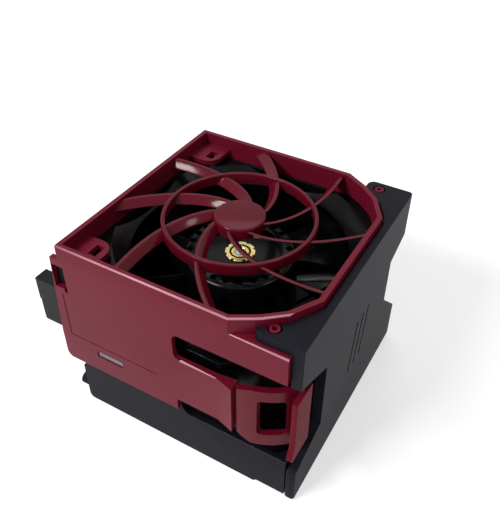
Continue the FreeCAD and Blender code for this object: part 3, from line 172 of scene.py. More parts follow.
# ---- mouldings and metals ----
def moulded_plastic(name, body, flow, roughness, grain_mm=0.3, grain_depth_mm=0.008,
                    gloss_change=0.05, flow_mm=14.0, scuff="#000000", scuff_share=0.0,
                    specular=0.5):
    """Injection-moulded plastic: nearly even colour with soft flow clouds, a spark-eroded grain
    that breaks up the gloss, and fine handling scuffs that are a little paler and drier."""
    material, tree = new_material(name)
    where = add(tree, "ShaderNodeTexCoord").outputs["Object"]
    clouds = add(tree, "ShaderNodeTexNoise",
                 {"Vector": where, "Scale": 1 / (flow_mm * MM), "Detail": 3.0, "Roughness": 0.55})
    speck = add(tree, "ShaderNodeTexNoise",
                {"Vector": where, "Scale": 1 / (grain_mm * MM), "Detail": 2.0, "Roughness": 0.6})
    tone = add(tree, "ShaderNodeMapRange",
               {"Value": clouds.outputs[0], "From Min": 0.3, "From Max": 0.7})
    colour = add(tree, "ShaderNodeMix",
                 {"Factor": tone.outputs[0], "A": hex_colour(body), "B": hex_colour(flow)},
                 data_type="RGBA")
    gloss = add(tree, "ShaderNodeMapRange",
                {"Value": speck.outputs[0], "From Min": 0.3, "From Max": 0.7,
                 "To Min": roughness - gloss_change, "To Max": roughness + gloss_change})
    # scuffs about 0.15 mm wide and a few millimetres long, drawn 0.25 mm wide so that they show
    slant = add(tree, "ShaderNodeMapping", {"Vector": where, "Rotation": (0.4, 0.7, 0.3),
                                            "Scale": (1.0, 14.0, 1.0)})
    strokes = add(tree, "ShaderNodeTexNoise",
                  {"Vector": slant.outputs[0], "Scale": 1 / (3.5 * MM), "Detail": 5.0,
                   "Roughness": 0.7})
    marked = add(tree, "ShaderNodeMapRange",
                 {"Value": strokes.outputs[0], "From Min": 0.60, "From Max": 0.72,
                  "To Max": scuff_share})
    worn = add(tree, "ShaderNodeMix",
               {"Factor": marked.outputs[0], "A": colour.outputs[2], "B": hex_colour(scuff)},
               data_type="RGBA")
    dry = add(tree, "ShaderNodeMath", {0: marked.outputs[0], 1: 0.5, 2: gloss.outputs[0]},
              operation="MULTIPLY_ADD")
    relief = add(tree, "ShaderNodeBump",
                 {"Height": speck.outputs[0], "Strength": 0.3, "Distance": grain_depth_mm * MM})
    shader = add(tree, "ShaderNodeBsdfPrincipled",
                 {"Base Color": worn.outputs[2], "Roughness": dry.outputs[0], "IOR": 1.52,
                  "Specular IOR Level": specular, "Normal": relief.outputs[0]})
    finish_material(tree, shader)
    return material


def painted_highlight_edge(name, body, pale):
    """Edge in a paler colour, a painted highlight: strongest towards the finger slot, and patchy
    at random."""
    material, tree = new_material(name)
    where = add(tree, "ShaderNodeTexCoord").outputs["Object"]
    spot = add(tree, "ShaderNodeSeparateXYZ", {0: where})
    patches = add(tree, "ShaderNodeTexNoise",
                  {"Vector": where, "Scale": 1 / (7.0 * MM), "Detail": 4.0})
    highlight_ramp = add(tree, "ShaderNodeMapRange",
                    {"Value": spot.outputs["X"], "From Min": HIGHLIGHT_FROM_X, "From Max": HIGHLIGHT_FULL_X,
                     "To Min": 0.35})
    uneven = add(tree, "ShaderNodeMapRange",
                 {"Value": patches.outputs[0], "From Min": 0.3, "From Max": 0.5, "To Min": 0.6})
    highlight_share = add(tree, "ShaderNodeMath", {0: highlight_ramp.outputs[0], 1: uneven.outputs[0]},
               operation="MULTIPLY")
    # pale colour over the edge: a painted highlight
    colour = add(tree, "ShaderNodeMix",
                 {"Factor": highlight_share.outputs[0], "A": hex_colour(body), "B": hex_colour(pale)},
                 data_type="RGBA")
    shader = add(tree, "ShaderNodeBsdfPrincipled",
                 {"Base Color": colour.outputs[2], "Roughness": 0.28, "IOR": 1.52})
    finish_material(tree, shader)
    return material


def worked_metal(name, colour, tarnish, roughness, line_mm, stretch=(1.0, 1.0, 12.0)):
    """Turned, drawn or stamped metal: fine tool lines and a faint uneven film."""
    material, tree = new_material(name)
    where = add(tree, "ShaderNodeTexCoord").outputs["Object"]
    drawn = add(tree, "ShaderNodeMapping", {"Vector": where, "Scale": stretch})
    lines = add(tree, "ShaderNodeTexNoise",
                {"Vector": drawn.outputs[0], "Scale": 1 / (line_mm * MM), "Detail": 3.0})
    film = add(tree, "ShaderNodeTexNoise",
               {"Vector": where, "Scale": 1 / (3.0 * MM), "Detail": 4.0})
    amount = add(tree, "ShaderNodeMapRange",
                 {"Value": film.outputs[0], "From Min": 0.35, "From Max": 0.7})
    tint = add(tree, "ShaderNodeMix",
               {"Factor": amount.outputs[0], "A": hex_colour(colour), "B": hex_colour(tarnish)},
               data_type="RGBA")
    gloss = add(tree, "ShaderNodeMapRange",
                {"Value": lines.outputs[0], "To Min": roughness - 0.08, "To Max": roughness + 0.1})
    relief = add(tree, "ShaderNodeBump",
                 {"Height": lines.outputs[0], "Strength": 0.25, "Distance": 0.01 * MM})
    shader = add(tree, "ShaderNodeBsdfPrincipled",
                 {"Base Color": tint.outputs[2], "Metallic": 1.0, "Roughness": gloss.outputs[0],
                  "Normal": relief.outputs[0]})
    finish_material(tree, shader)
    return material


MATERIALS = {
    # PC/ABS in the hot-plug maroon: satin, deep and clean, with a broad soft gloss
    "maroon_plastic": moulded_plastic("maroon_pc_abs_satin", "#711129", "#76152d", 0.42,
                                      grain_depth_mm=0.008, gloss_change=0.04,
                                      scuff="#8c4452", scuff_share=0.06, specular=0.15),
    # the same moulding where the mould is polished: the swirl guard's tight bright gloss
    "maroon_polished": moulded_plastic("maroon_pc_abs_polished", "#640d20", "#691024", 0.12,
                                       grain_depth_mm=0.001, gloss_change=0.02, specular=0.14),
    # the bowed leaf, smoother and a shade deeper than the panel
    "maroon_flexed": moulded_plastic("maroon_pc_abs_smooth", "#6a0c22", "#6f1026", 0.3,
                                     grain_depth_mm=0.003, gloss_change=0.03, specular=0.14),
    # the finger plate, coarsely grained for grip, which dulls it
    "maroon_grip": moulded_plastic("maroon_pc_abs_grip", "#6c0d22", "#721026", 0.58, 0.4,
                                   grain_depth_mm=0.012, gloss_change=0.05, specular=0.1),
    # front edges in a paler colour: painted highlight lines where the light catches them
    "maroon_highlight_edge": painted_highlight_edge("maroon_rubbed_edge", "#7a152b", "#c58794"),
    "black_highlight_edge": painted_highlight_edge("black_rubbed_edge", "#14141c", "#62626c"),
    # glass-filled nylon of the carrier: black, and its grain spreads the gloss to a grey sheen
    "black_plastic": moulded_plastic("black_nylon_fine_grain", "#0d0d16", "#12121d", 0.54,
                                     grain_depth_mm=0.010, scuff="#3c3c42", scuff_share=0.15,
                                     specular=0.12),
    # glass-filled PBT of the fan: the deepest black here, with a tight low gloss
    "fan_plastic": moulded_plastic("black_pbt_fan", "#09090c", "#0c0b0e", 0.2,
                                   grain_depth_mm=0.002, specular=0.13),
    # PBT of the plug: a shade paler than the fan's and far duller
    "connector_plastic": moulded_plastic("grey_black_pbt", "#131416", "#18191b", 0.5, 0.45,
                                         specular=0.14),
    # epoxy moulding compound of the chips: flat dark grey, as it leaves the mould
    "chip_plastic": moulded_plastic("chip_epoxy", "#1b1b1c", "#232324", 0.55, 0.2, 0.006),
    # soft PVC insulation of the leads: a low waxy gloss
    "lead_insulation": moulded_plastic("lead_pvc_black", "#18181a", "#1f1f22", 0.34, 0.6, 0.004),
    # sintered ferrite, dull and faintly grainy
    "ferrite": moulded_plastic("sintered_ferrite", "#3a3a3c", "#454547", 0.62, 0.25, 0.01),
    # green solder mask over glass cloth: glossy, and a little uneven from the weave below
    "board_laminate": moulded_plastic("green_solder_mask", "#1d5a34", "#246a3f", 0.3, 0.8, 0.006),
    # pale bluish grey for the snap hook's sloped face: a painted reflection of the bright floor
    # and sky
    "hook_reflection_grey": moulded_plastic("strain_whitened_nylon", "#6d757d", "#838b93", 0.4, 0.4),
    # free-cutting brass, bright from the lathe
    "turned_brass": worked_metal("turned_brass", "#f0e2a6", "#cdb469", 0.24, 0.2, (8.0, 8.0, 1.0)),
    # the same brass in its groove, painted dark: painted shade in the recess
    "oiled_brass": worked_metal("oiled_brass", "#5a4622", "#3d3018", 0.5, 0.2),
    # tinned brass of the contacts: pale straw and bright
    "contact_brass": worked_metal("tinned_brass_contact", "#d9cfa0", "#bdb184", 0.28, 0.15),
    # ground bearing steel: the brightest grey, with fine lines round it
    "bearing_steel": worked_metal("ground_bearing_steel", "#c9cacc", "#a9abae", 0.22, 0.12),
    # drawn spring wire: a darker grey, its fine lines level like the coils
    "spring_steel": worked_metal("drawn_spring_steel", "#b4b5b8", "#94969a", 0.32, 0.12),
    # zinc-plated steel: soft bluish grey with a faint cloudy film
    "plated_steel": worked_metal("zinc_plated_steel", "#bfc2c4", "#9da1a5", 0.34, 0.4),
    # stamped sheets in a stack: dull grey, with the punch's streaks up their sheared edges
    "lamination_steel": worked_metal("stamped_lamination", "#8e8f92", "#737478", 0.45, 0.5,
                                     (1.0, 1.0, 0.1)),
    # copper wire under clear enamel: warm orange-brown, fairly glossy
    "winding_copper": worked_metal("enamelled_copper", "#c9753f", "#a85a2c", 0.3, 0.25),
}
# nodes whose finish differs from the plain one of their slot
FINISH_OF = {"fan_housing": "fan_plastic", "impeller": "fan_plastic",
             "finger_guard": "maroon_polished", "latch_spring": "maroon_flexed",
             "release_tab": "maroon_grip"}
# mouldings whose front edges carry a painted highlight
PAINTED_HIGHLIGHT_PIECES = ("inlet_cover_moulding", "carrier_tray_moulding")
EDGE_HIGHLIGHT_FINISH = {"maroon_plastic": "maroon_highlight_edge", "black_plastic": "black_highlight_edge"}
SLOT_OF = {part["node"]: part["material_slot"] for part in frame["record"]["subparts"]}
BODY_OF = {node: body for body, nodes in frame["record"]["behaviour"]["bodies"].items()
           for node in nodes}


# ---- meshes ----
def link(name, mesh):
    """New object in the scene, at the origin."""
    piece = bpy.data.objects.new(name, mesh)
    bpy.context.scene.collection.objects.link(piece)
    return piece


def plain(piece, name):
    """The evaluated piece as a plain mesh with no modifiers left on it."""
    graph = bpy.context.evaluated_depsgraph_get()
    mesh = bpy.data.meshes.new_from_object(piece.evaluated_get(graph))
    mesh.name = name
    old = piece.data
    piece.modifiers.clear()
    piece.data = mesh
    if old.users == 0 and isinstance(old, bpy.types.Mesh):
        bpy.data.meshes.remove(old)
    return piece


def welded_copy(node, name):
    """Copy of a CAD node with its doubles merged and its flat facets joined."""
    work = bmesh.new()
    work.from_mesh(frame["nodes"][node].data)
    bmesh.ops.remove_doubles(work, verts=work.verts, dist=0.002 * MM)
    bmesh.ops.dissolve_limit(work, angle_limit=math.radians(0.5), verts=work.verts,
                             edges=work.edges)
    mesh = bpy.data.meshes.new(name)
    work.to_mesh(mesh)
    work.free()
    for layer in ("custom_normal", "sharp_face"):
        if layer in mesh.attributes:
            mesh.attributes.remove(mesh.attributes[layer])
    return link(name, mesh)


def takes_painted_highlight(edge):
    """Long front edge of an upper face, at the module's front: an edge that takes the painted
    highlight.
    """
    middle = (edge.verts[0].co + edge.verts[1].co) / 2
    if middle.y > HIGHLIGHT_FRONT_Y or edge.calc_length() < HIGHLIGHT_EDGE_LENGTH:
        return False
    front, upper = sorted(edge.link_faces, key=lambda face: face.normal.z)
    # the rim's cut corner faces half sideways; lower down only the flat front counts
    turned = -0.6 if middle.z > RIM_FOOT else -0.97
    return (upper.normal.z > 0.95 and front.normal.y < turned
            and upper.calc_area() > HIGHLIGHT_FACE_AREA)


def is_toe(edge):
    """Side outline of the wall's toe, which ends as a rounded post at the front corner."""
    ends = [corner.co for corner in edge.verts]
    return (all(end.x > TOE_SIDE and end.y < TOE_BACK and end.z < TOE_TOP for end in ends)
            and abs(ends[0].x - ends[1].x) < 0.01 * MM)


def round_chosen(piece, wanted, width, material):
    """Rounds the wanted edges of a piece and gives the rounds one of its materials."""
    work = bmesh.new()
    work.from_mesh(piece.data)
    bmesh.ops.recalc_face_normals(work, faces=work.faces)
    chosen = [edge for edge in work.edges if edge.is_manifold and edge.is_convex
              and edge.calc_face_angle() > 0.3 and wanted(edge)]
    bmesh.ops.bevel(work, geom=chosen, offset=width, offset_type="OFFSET", segments=4,
                    profile=0.5, affect="EDGES", clamp_overlap=True, material=material)
    work.to_mesh(piece.data)
    work.free()


def softened(piece, width_mm, segments=3, angle=30.0):
    """Gives a piece the small rounded edges that a mould or a tumbled part has; the front edges
    of the outer mouldings are rounded wider and take a painted highlight, in their second
    material."""
    if piece.name in PAINTED_HIGHLIGHT_PIECES:
        piece.data.materials.clear()
        for _ in range(2):
            piece.data.materials.append(None)
        round_chosen(piece, takes_painted_highlight, HIGHLIGHT_ROUND, 1)
    if piece.name == "side_wall_moulding":
        round_chosen(piece, is_toe, TOE_ROUND, 0)
    piece.data.shade_smooth()
    edge = piece.modifiers.new("edge_round", "BEVEL")
    edge.width = width_mm * MM
    edge.segments = segments
    edge.limit_method = "ANGLE"
    edge.angle_limit = math.radians(angle)
    edge.harden_normals = True
    edge.use_clamp_overlap = True
    return plain(piece, piece.name)


def smooth_faced(piece, angle=32.0):
    """Smooth shading that breaks only at the piece's real edges."""
    piece.data.shade_smooth()
    piece.data.set_sharp_from_angle(angle=math.radians(angle))
    return piece


def dress(piece, node):
    """Gives a piece the finish of the node that it stands for, and its chosen front edges their
    painted highlight.
    """
    slot = SLOT_OF[node]
    finishes = [MATERIALS[FINISH_OF.get(node, slot)]]
    if piece.name in PAINTED_HIGHLIGHT_PIECES:
        finishes.append(MATERIALS[EDGE_HIGHLIGHT_FINISH[slot]])
        kept = [polygon.material_index for polygon in piece.data.polygons]
    else:
        kept = [0] * len(piece.data.polygons)
    piece.data.materials.clear()
    for finish in finishes:
        piece.data.materials.append(finish)
    piece.data.polygons.foreach_set("material_index", kept)
    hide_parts(node)


def place(piece, node):
    """Finishes a piece and sends it with the body of the node that it stands for."""
    dress(piece, node)
    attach(piece, BODY_OF[node])


def closed_solid(name, points, faces):
    """Piece from points and faces, its doubles merged and its faces turned outwards."""
    mesh = bpy.data.meshes.new(name)
    mesh.from_pydata(points, [], faces)
    work = bmesh.new()
    work.from_mesh(mesh)
    bmesh.ops.remove_doubles(work, verts=work.verts, dist=0.0005 * MM)
    bmesh.ops.dissolve_degenerate(work, edges=work.edges, dist=0.0005 * MM)
    bmesh.ops.recalc_face_normals(work, faces=work.faces)
    work.to_mesh(mesh)
    work.free()
    return link(name, mesh)


def lathed(name, section, sides=128):
    """Body turned about the rotor's axis from a closed section of (radius, height) points."""
    turns = [math.tau * turn / sides for turn in range(sides)]
    points = [(radius * math.cos(turn), radius * math.sin(turn), height)
              for turn in turns for radius, height in section]
    count = len(section)
    quads = []
    for turn in range(sides):
        here, after = turn * count, (turn + 1) % sides * count
        quads += [(here + at, here + (at + 1) % count, after + (at + 1) % count, after + at)
                  for at in range(count)]
    return closed_solid(name, points, quads)


def quarter(centre, radius, first, last, steps=6):
    """Points on an arc in a lathe section, from one angle to the other in degrees."""
    turns = [math.radians(first + (last - first) * step / steps) for step in range(steps + 1)]
    return [(centre[0] + radius * math.cos(turn), centre[1] + radius * math.sin(turn))
            for turn in turns]


# ---- pieces that follow a rule ----
# kind of tree input for each kind of value
SOCKETS = {int: "NodeSocketInt", float: "NodeSocketFloat", tuple: "NodeSocketVector",
           bpy.types.Object: "NodeSocketObject"}


def new_rule(name, sizes):
    """Empty node tree with a named input for each size, and the outputs that carry them."""
    tree = bpy.data.node_groups.new(name, "GeometryNodeTree")
    tree.interface.new_socket("Geometry", in_out="INPUT", socket_type="NodeSocketGeometry")
    for label, value in sizes.items():
        tree.interface.new_socket(label, in_out="INPUT", socket_type=SOCKETS[type(value)])
    tree.interface.new_socket("Geometry", in_out="OUTPUT", socket_type="NodeSocketGeometry")
    return tree, add(tree, "NodeGroupInput").outputs


def end_rule(tree, shape, slot):
    """Every tree ends in real geometry with its own material."""
    real = add(tree, "GeometryNodeRealizeInstances", {"Geometry": shape})
    finish = add(tree, "GeometryNodeSetMaterial",
                 {"Geometry": real.outputs[0], "Material": MATERIALS[slot]})
    add(tree, "NodeGroupOutput", {"Geometry": finish.outputs[0]})


def made_by(tree, sizes, piece):
    """The plain mesh that a tree makes from these sizes and the piece it stands on."""
    rule = piece.modifiers.new(tree.name, "NODES")
    rule.node_group = tree
    for socket in tree.interface.items_tree:
        if socket.in_out == "INPUT" and socket.name in sizes:
            rule[socket.identifier] = sizes[socket.name]
    return smooth_faced(plain(piece, piece.name))


def blank(name):
    """Empty piece for a tree to fill."""
    return link(name, bpy.data.meshes.new(name))


def ring_of(tree, shape, count, height=0.0):
    """Copies of a shape in equal steps about the rotor's axis, raised to one height."""
    seat = add(tree, "ShaderNodeCombineXYZ", {"Z": height})
    points = add(tree, "GeometryNodePoints", {"Count": count, "Position": seat.outputs[0]})
    step = add(tree, "ShaderNodeMath", {0: math.tau, 1: count}, operation="DIVIDE")
    place_in_ring = add(tree, "GeometryNodeInputIndex")
    angle = add(tree, "ShaderNodeMath", {0: place_in_ring.outputs[0], 1: step.outputs[0]},
                operation="MULTIPLY")
    turn = add(tree, "FunctionNodeAxisAngleToRotation", {"Angle": angle.outputs[0]})
    copies = add(tree, "GeometryNodeInstanceOnPoints",
                 {"Points": points.outputs[0], "Instance": shape, "Rotation": turn.outputs[0]})
    return add(tree, "GeometryNodeRealizeInstances", {"Geometry": copies.outputs[0]}).outputs[0]


def soft_bar(tree, wide, tall, edge, corner_steps=4):
    """Rectangular section with rounded corners, for sweeping along a line."""
    bar = add(tree, "GeometryNodeCurvePrimitiveQuadrilateral", {"Width": wide, "Height": tall})
    return add(tree, "GeometryNodeFilletCurve",
               {"Curve": bar.outputs[0], "Radius": edge, "Count": corner_steps},
               mode="POLY").outputs[0]


def swept(tree, line, section):
    """Section carried along a line, upright all the way, with closed ends."""
    upright = add(tree, "GeometryNodeSetCurveNormal", {"Curve": line}, mode="Z_UP")
    return add(tree, "GeometryNodeCurveToMesh",
               {"Curve": upright.outputs[0], "Profile Curve": section,
                "Fill Caps": True}).outputs[0]


def cut_in_ring(name, sizes, piece, sides, finish):
    """Takes round holes or bites out of a lathed piece, in equal steps about its axis."""
    tree, size = new_rule(name, sizes)
    drill = add(tree, "GeometryNodeMeshCylinder",
                {"Vertices": sides, "Radius": size["Cut radius"], "Depth": size["Depth"]})
    out = add(tree, "ShaderNodeCombineXYZ", {"X": size["Ring radius"]})
    moved = add(tree, "GeometryNodeTransform",
                {"Geometry": drill.outputs["Mesh"], "Translation": out.outputs[0]})
    ring = ring_of(tree, moved.outputs[0], size["Cuts"], size["Middle"])
    cut = add(tree, "GeometryNodeMeshBoolean", {"Mesh 1": size["Geometry"], "Mesh 2": ring},
              operation="DIFFERENCE", solver="EXACT")
    end_rule(tree, cut.outputs[0], finish)
    return made_by(tree, sizes, piece)


# ---- swirl guard ----
def rim_inside():
    """Inner line of the rim, a little deep in its wall: square on the left, cut on the right."""
    front = [(RIM_RIGHT - back_by, RIM_FRONT + in_by) for back_by, in_by in RIM_CUTS]
    back = [(RIM_RIGHT - back_by, RIM_BACK - in_by) for back_by, in_by in RIM_CUTS]
    corners = [Vector(point) for point in
               [(RIM_LEFT, RIM_FRONT)] + front + back[::-1] + [(RIM_LEFT, RIM_BACK)]]
    inset = RIM_WALL - RIM_SUNK
    line = []
    for before, here, after in zip(corners[-1:] + corners, corners, corners[1:] + corners[:1]):
        into, out = (here - before).normalized(), (after - here).normalized()
        inward = (into.orthogonal() + out.orthogonal()).normalized()
        line.append(here + inward * inset / inward.dot(into.orthogonal()))
    return line


def rim_surround():
    """Solid that fills the space outside the rim's inner line, to cut the vanes back to it."""
    inner = rim_inside()
    outer = [point * 2.5 for point in inner]
    low, high = VANE_TOP - 2 * VANE_HEIGHT, VANE_TOP + VANE_HEIGHT
    count = len(inner)
    points = [(*point, height) for height in (low, high) for ring in (inner, outer)
              for point in ring]
    faces = []
    for at in range(count):
        after = (at + 1) % count
        for first, second in ((0, 1), (1, 3), (3, 2), (2, 0)):
            faces.append((first * count + at, first * count + after, second * count + after,
                          second * count + at))
    return closed_solid("rim_surround", points, faces)


def swirl_vanes():
    """Leaning vanes on a logarithmic spiral, which keeps one angle to the radius all the way."""
    surround = rim_surround()
    first = GUARD_HUB_RADIUS - VANE_THICK
    last = math.hypot(RIM_LEFT, RIM_FRONT)
    sweep = math.tan(VANE_SWEEP)
    ring_angle = VANE_START + sweep * math.log(GUARD_RING_RADIUS / GUARD_HUB_RADIUS) + VANE_SWEEP
    sizes = {
        "Vanes": 8,
        "First radius": first,
        "Growth": last / first,
        "First angle": VANE_START + sweep * math.log(first / GUARD_HUB_RADIUS),
        "Last angle": VANE_START + sweep * math.log(last / GUARD_HUB_RADIUS),
        "Thickness": VANE_THICK,
        "Height": VANE_HEIGHT,
        "Edge round": 0.3 * MM,
        "Top": VANE_TOP,
        "Lean": (VANE_LEAN * math.sin(ring_angle), -VANE_LEAN * math.cos(ring_angle), 0.0),
        "Rim surround": surround,
    }
    tree, size = new_rule("swirl_vanes", sizes)
    line = add(tree, "GeometryNodeCurvePrimitiveLine", {"End": (1.0, 0.0, 0.0)})
    beads = add(tree, "GeometryNodeResampleCurve", {"Curve": line.outputs[0], "Count": VANE_BEADS})
    along = add(tree, "GeometryNodeSplineParameter").outputs["Factor"]
    growth = add(tree, "ShaderNodeMath", {0: size["Growth"], 1: along}, operation="POWER")
    radius = add(tree, "ShaderNodeMath", {0: growth.outputs[0], 1: size["First radius"]},
                 operation="MULTIPLY")
    angle = add(tree, "ShaderNodeMapRange", {"Value": along, "To Min": size["First angle"],
                                             "To Max": size["Last angle"]})
    half_down = add(tree, "ShaderNodeMath", {0: size["Height"], 1: -0.5}, operation="MULTIPLY")
    spoke = add(tree, "ShaderNodeCombineXYZ", {"X": radius.outputs[0], "Z": half_down.outputs[0]})
    wound = add(tree, "ShaderNodeVectorRotate",
                {"Vector": spoke.outputs[0], "Angle": angle.outputs[0]}, rotation_type="Z_AXIS")
    spiral = add(tree, "GeometryNodeSetPosition",
                 {"Geometry": beads.outputs[0], "Position": wound.outputs[0]})
    section = soft_bar(tree, size["Thickness"], size["Height"], size["Edge round"])
    vane = swept(tree, spiral.outputs[0], section)
    spot = add(tree, "ShaderNodeSeparateXYZ",
               {0: add(tree, "GeometryNodeInputPosition").outputs[0]})
    drop = add(tree, "ShaderNodeMath", {0: spot.outputs["Z"], 1: size["Height"]},
               operation="DIVIDE")
    push = add(tree, "ShaderNodeVectorMath", {0: size["Lean"], "Scale": drop.outputs[0]},
               operation="SCALE")
    leaning = add(tree, "GeometryNodeSetPosition",
                  {"Geometry": vane, "Offset": push.outputs[0]})
    ring = ring_of(tree, leaning.outputs[0], size["Vanes"], size["Top"])
    outside = add(tree, "GeometryNodeObjectInfo", {"Object": size["Rim surround"]})
    fitted = add(tree, "GeometryNodeMeshBoolean",
                 {"Mesh 1": ring, "Mesh 2": outside.outputs["Geometry"]},
                 operation="DIFFERENCE", solver="EXACT")
    end_rule(tree, fitted.outputs[0], "maroon_polished")
    vanes = made_by(tree, sizes, blank("swirl_vanes"))
    bpy.data.objects.remove(surround)
    return vanes


def guard_ring():
    """Round bar that ties the vanes together halfway out, flush with the rim's top."""
    sizes = {"Radius": GUARD_RING_RADIUS - GUARD_RING_WALL / 2, "Wall": GUARD_RING_WALL,
             "Height": GUARD_RING_HEIGHT, "Edge round": 0.35 * MM,
             "Middle": MODULE_HEIGHT - GUARD_RING_HEIGHT / 2}
    tree, size = new_rule("guard_ring", sizes)
    circle = add(tree, "GeometryNodeCurvePrimitiveCircle",
                 {"Resolution": 128, "Radius": size["Radius"]})
    lift = add(tree, "ShaderNodeCombineXYZ", {"Z": size["Middle"]})
    raised = add(tree, "GeometryNodeSetPosition",
                 {"Geometry": circle.outputs[0], "Offset": lift.outputs[0]})
    section = soft_bar(tree, size["Wall"], size["Height"], size["Edge round"])
    end_rule(tree, swept(tree, raised.outputs[0], section), "maroon_polished")
    return made_by(tree, sizes, blank("guard_ring"))


def guard_hub():
    """Plain disc with a soft upper edge."""
    edge = 0.5 * MM
    rim = GUARD_HUB_RADIUS - edge
    top, foot = MODULE_HEIGHT, MODULE_HEIGHT - GUARD_HUB_THICK
    section = [(0.0, foot), (GUARD_HUB_RADIUS, foot)]
    section += quarter((rim, top - edge), edge, 0, 90) + [(0.0, top)]
    return smooth_faced(lathed("guard_hub", section, 96))


# ---- rotor ----
def impeller_blades():
    """Twisted, cambered blades: the section grows, steepens and swings back towards the tip."""
    keep = lathed("blade_room", [(HUB_RADIUS - HUB_WALL / 2, HUB_FOOT),
                                 (BORE_RADIUS - TIP_GAP, HUB_FOOT),
                                 (BORE_RADIUS - TIP_GAP, HUB_TOP),
                                 (HUB_RADIUS - HUB_WALL / 2, HUB_TOP)])
    sizes = {
        "Blades": 7,
        "Root radius": BLADE_ROOT,
        "Tip radius": BLADE_TIP,
        "Root half chord": 10.5 * MM,
        "Tip half chord": 13.25 * MM,
        "Root stagger": math.radians(34.0),
        "Tip stagger": math.radians(51.0),
        "Swing": math.radians(-14.0),
        "Camber": -2.6 * MM,
        "Half thickness": 0.75 * MM,
        "Middle": (HUB_TOP + HUB_FOOT) / 2,
        "Blade room": keep,
    }
    tree, size = new_rule("impeller_blades", sizes)
    tube = add(tree, "GeometryNodeMeshCylinder",
               {"Vertices": 28, "Side Segments": 16, "Radius": 1.0, "Depth": 1.0})
    spot = add(tree, "ShaderNodeSeparateXYZ",
               {0: add(tree, "GeometryNodeInputPosition").outputs[0]})
    share = add(tree, "ShaderNodeMath", {0: spot.outputs["Z"], 1: 0.5}, operation="ADD")
    radius = add(tree, "ShaderNodeMapRange", {"Value": share.outputs[0],
                                              "To Min": size["Root radius"],
                                              "To Max": size["Tip radius"]})
    half = add(tree, "ShaderNodeMapRange", {"Value": share.outputs[0],
                                            "To Min": size["Root half chord"],
                                            "To Max": size["Tip half chord"]})
    stagger = add(tree, "ShaderNodeMapRange", {"Value": share.outputs[0],
                                               "To Min": size["Root stagger"],
                                               "To Max": size["Tip stagger"]})
    swing = add(tree, "ShaderNodeMath", {0: share.outputs[0], 1: size["Swing"]},
                operation="MULTIPLY")
    along = add(tree, "ShaderNodeMath", {0: spot.outputs["X"], 1: half.outputs[0]},
                operation="MULTIPLY")
    bulge = add(tree, "ShaderNodeMath", {0: spot.outputs["Y"], 1: size["Camber"],
                                         2: size["Half thickness"]}, operation="MULTIPLY_ADD")
    across = add(tree, "ShaderNodeMath", {0: spot.outputs["Y"], 1: bulge.outputs[0]},
                 operation="MULTIPLY")
    flat = add(tree, "ShaderNodeCombineXYZ", {"Y": across.outputs[0], "Z": along.outputs[0]})
    pitched = add(tree, "ShaderNodeVectorRotate",
                  {"Vector": flat.outputs[0], "Angle": stagger.outputs[0]},
                  rotation_type="X_AXIS")
    seat = add(tree, "ShaderNodeCombineXYZ", {"X": radius.outputs[0], "Z": size["Middle"]})
    out = add(tree, "ShaderNodeVectorMath", {0: pitched.outputs[0], 1: seat.outputs[0]},
              operation="ADD")
    swung = add(tree, "ShaderNodeVectorRotate",
                {"Vector": out.outputs[0], "Angle": swing.outputs[0]}, rotation_type="Z_AXIS")
    shaped = add(tree, "GeometryNodeSetPosition",
                 {"Geometry": tube.outputs["Mesh"], "Position": swung.outputs[0]})
    outward = add(tree, "GeometryNodeFlipFaces", {"Mesh": shaped.outputs[0]})
    ring = ring_of(tree, outward.outputs[0], size["Blades"])
    room = add(tree, "GeometryNodeObjectInfo", {"Object": size["Blade room"]})
    # what an intersection keeps is common to all the solids in its one joined input
    trimmed = add(tree, "GeometryNodeMeshBoolean", operation="INTERSECT", solver="EXACT")
    tree.links.new(ring, trimmed.inputs["Mesh 2"])
    tree.links.new(room.outputs["Geometry"], trimmed.inputs["Mesh 2"])
    end_rule(tree, trimmed.outputs[0], "fan_plastic")
    blades = made_by(tree, sizes, blank("impeller_blades"))
    bpy.data.objects.remove(keep)
    return blades


def hub_cup():
    """Cup over the motor with its sunk face and a ring of blind vents."""
    floor = HUB_TOP - HUB_RECESS
    inner = HUB_RADIUS - HUB_WALL
    edge = 0.2 * MM
    section = [(HUB_BORE, HUB_CEILING), (inner, HUB_CEILING), (inner, HUB_FOOT),
               (HUB_RADIUS, HUB_FOOT)]
    section += quarter((HUB_RADIUS - HUB_ROUND, HUB_TOP - HUB_ROUND), HUB_ROUND, 0, 90)
    section += quarter((HUB_RECESS_RADIUS + edge, HUB_TOP - edge), edge, 90, 180, 3)
    section += [(HUB_RECESS_RADIUS, floor), (HUB_BORE, floor)]
    vents = {"Cuts": 24, "Ring radius": HUB_RADIUS - 2.4 * MM, "Cut radius": 0.95 * MM,
             "Depth": 3.0 * MM, "Middle": HUB_TOP}
    return cut_in_ring("hub_vents", vents, lathed("hub_cup", section), 20, "fan_plastic")


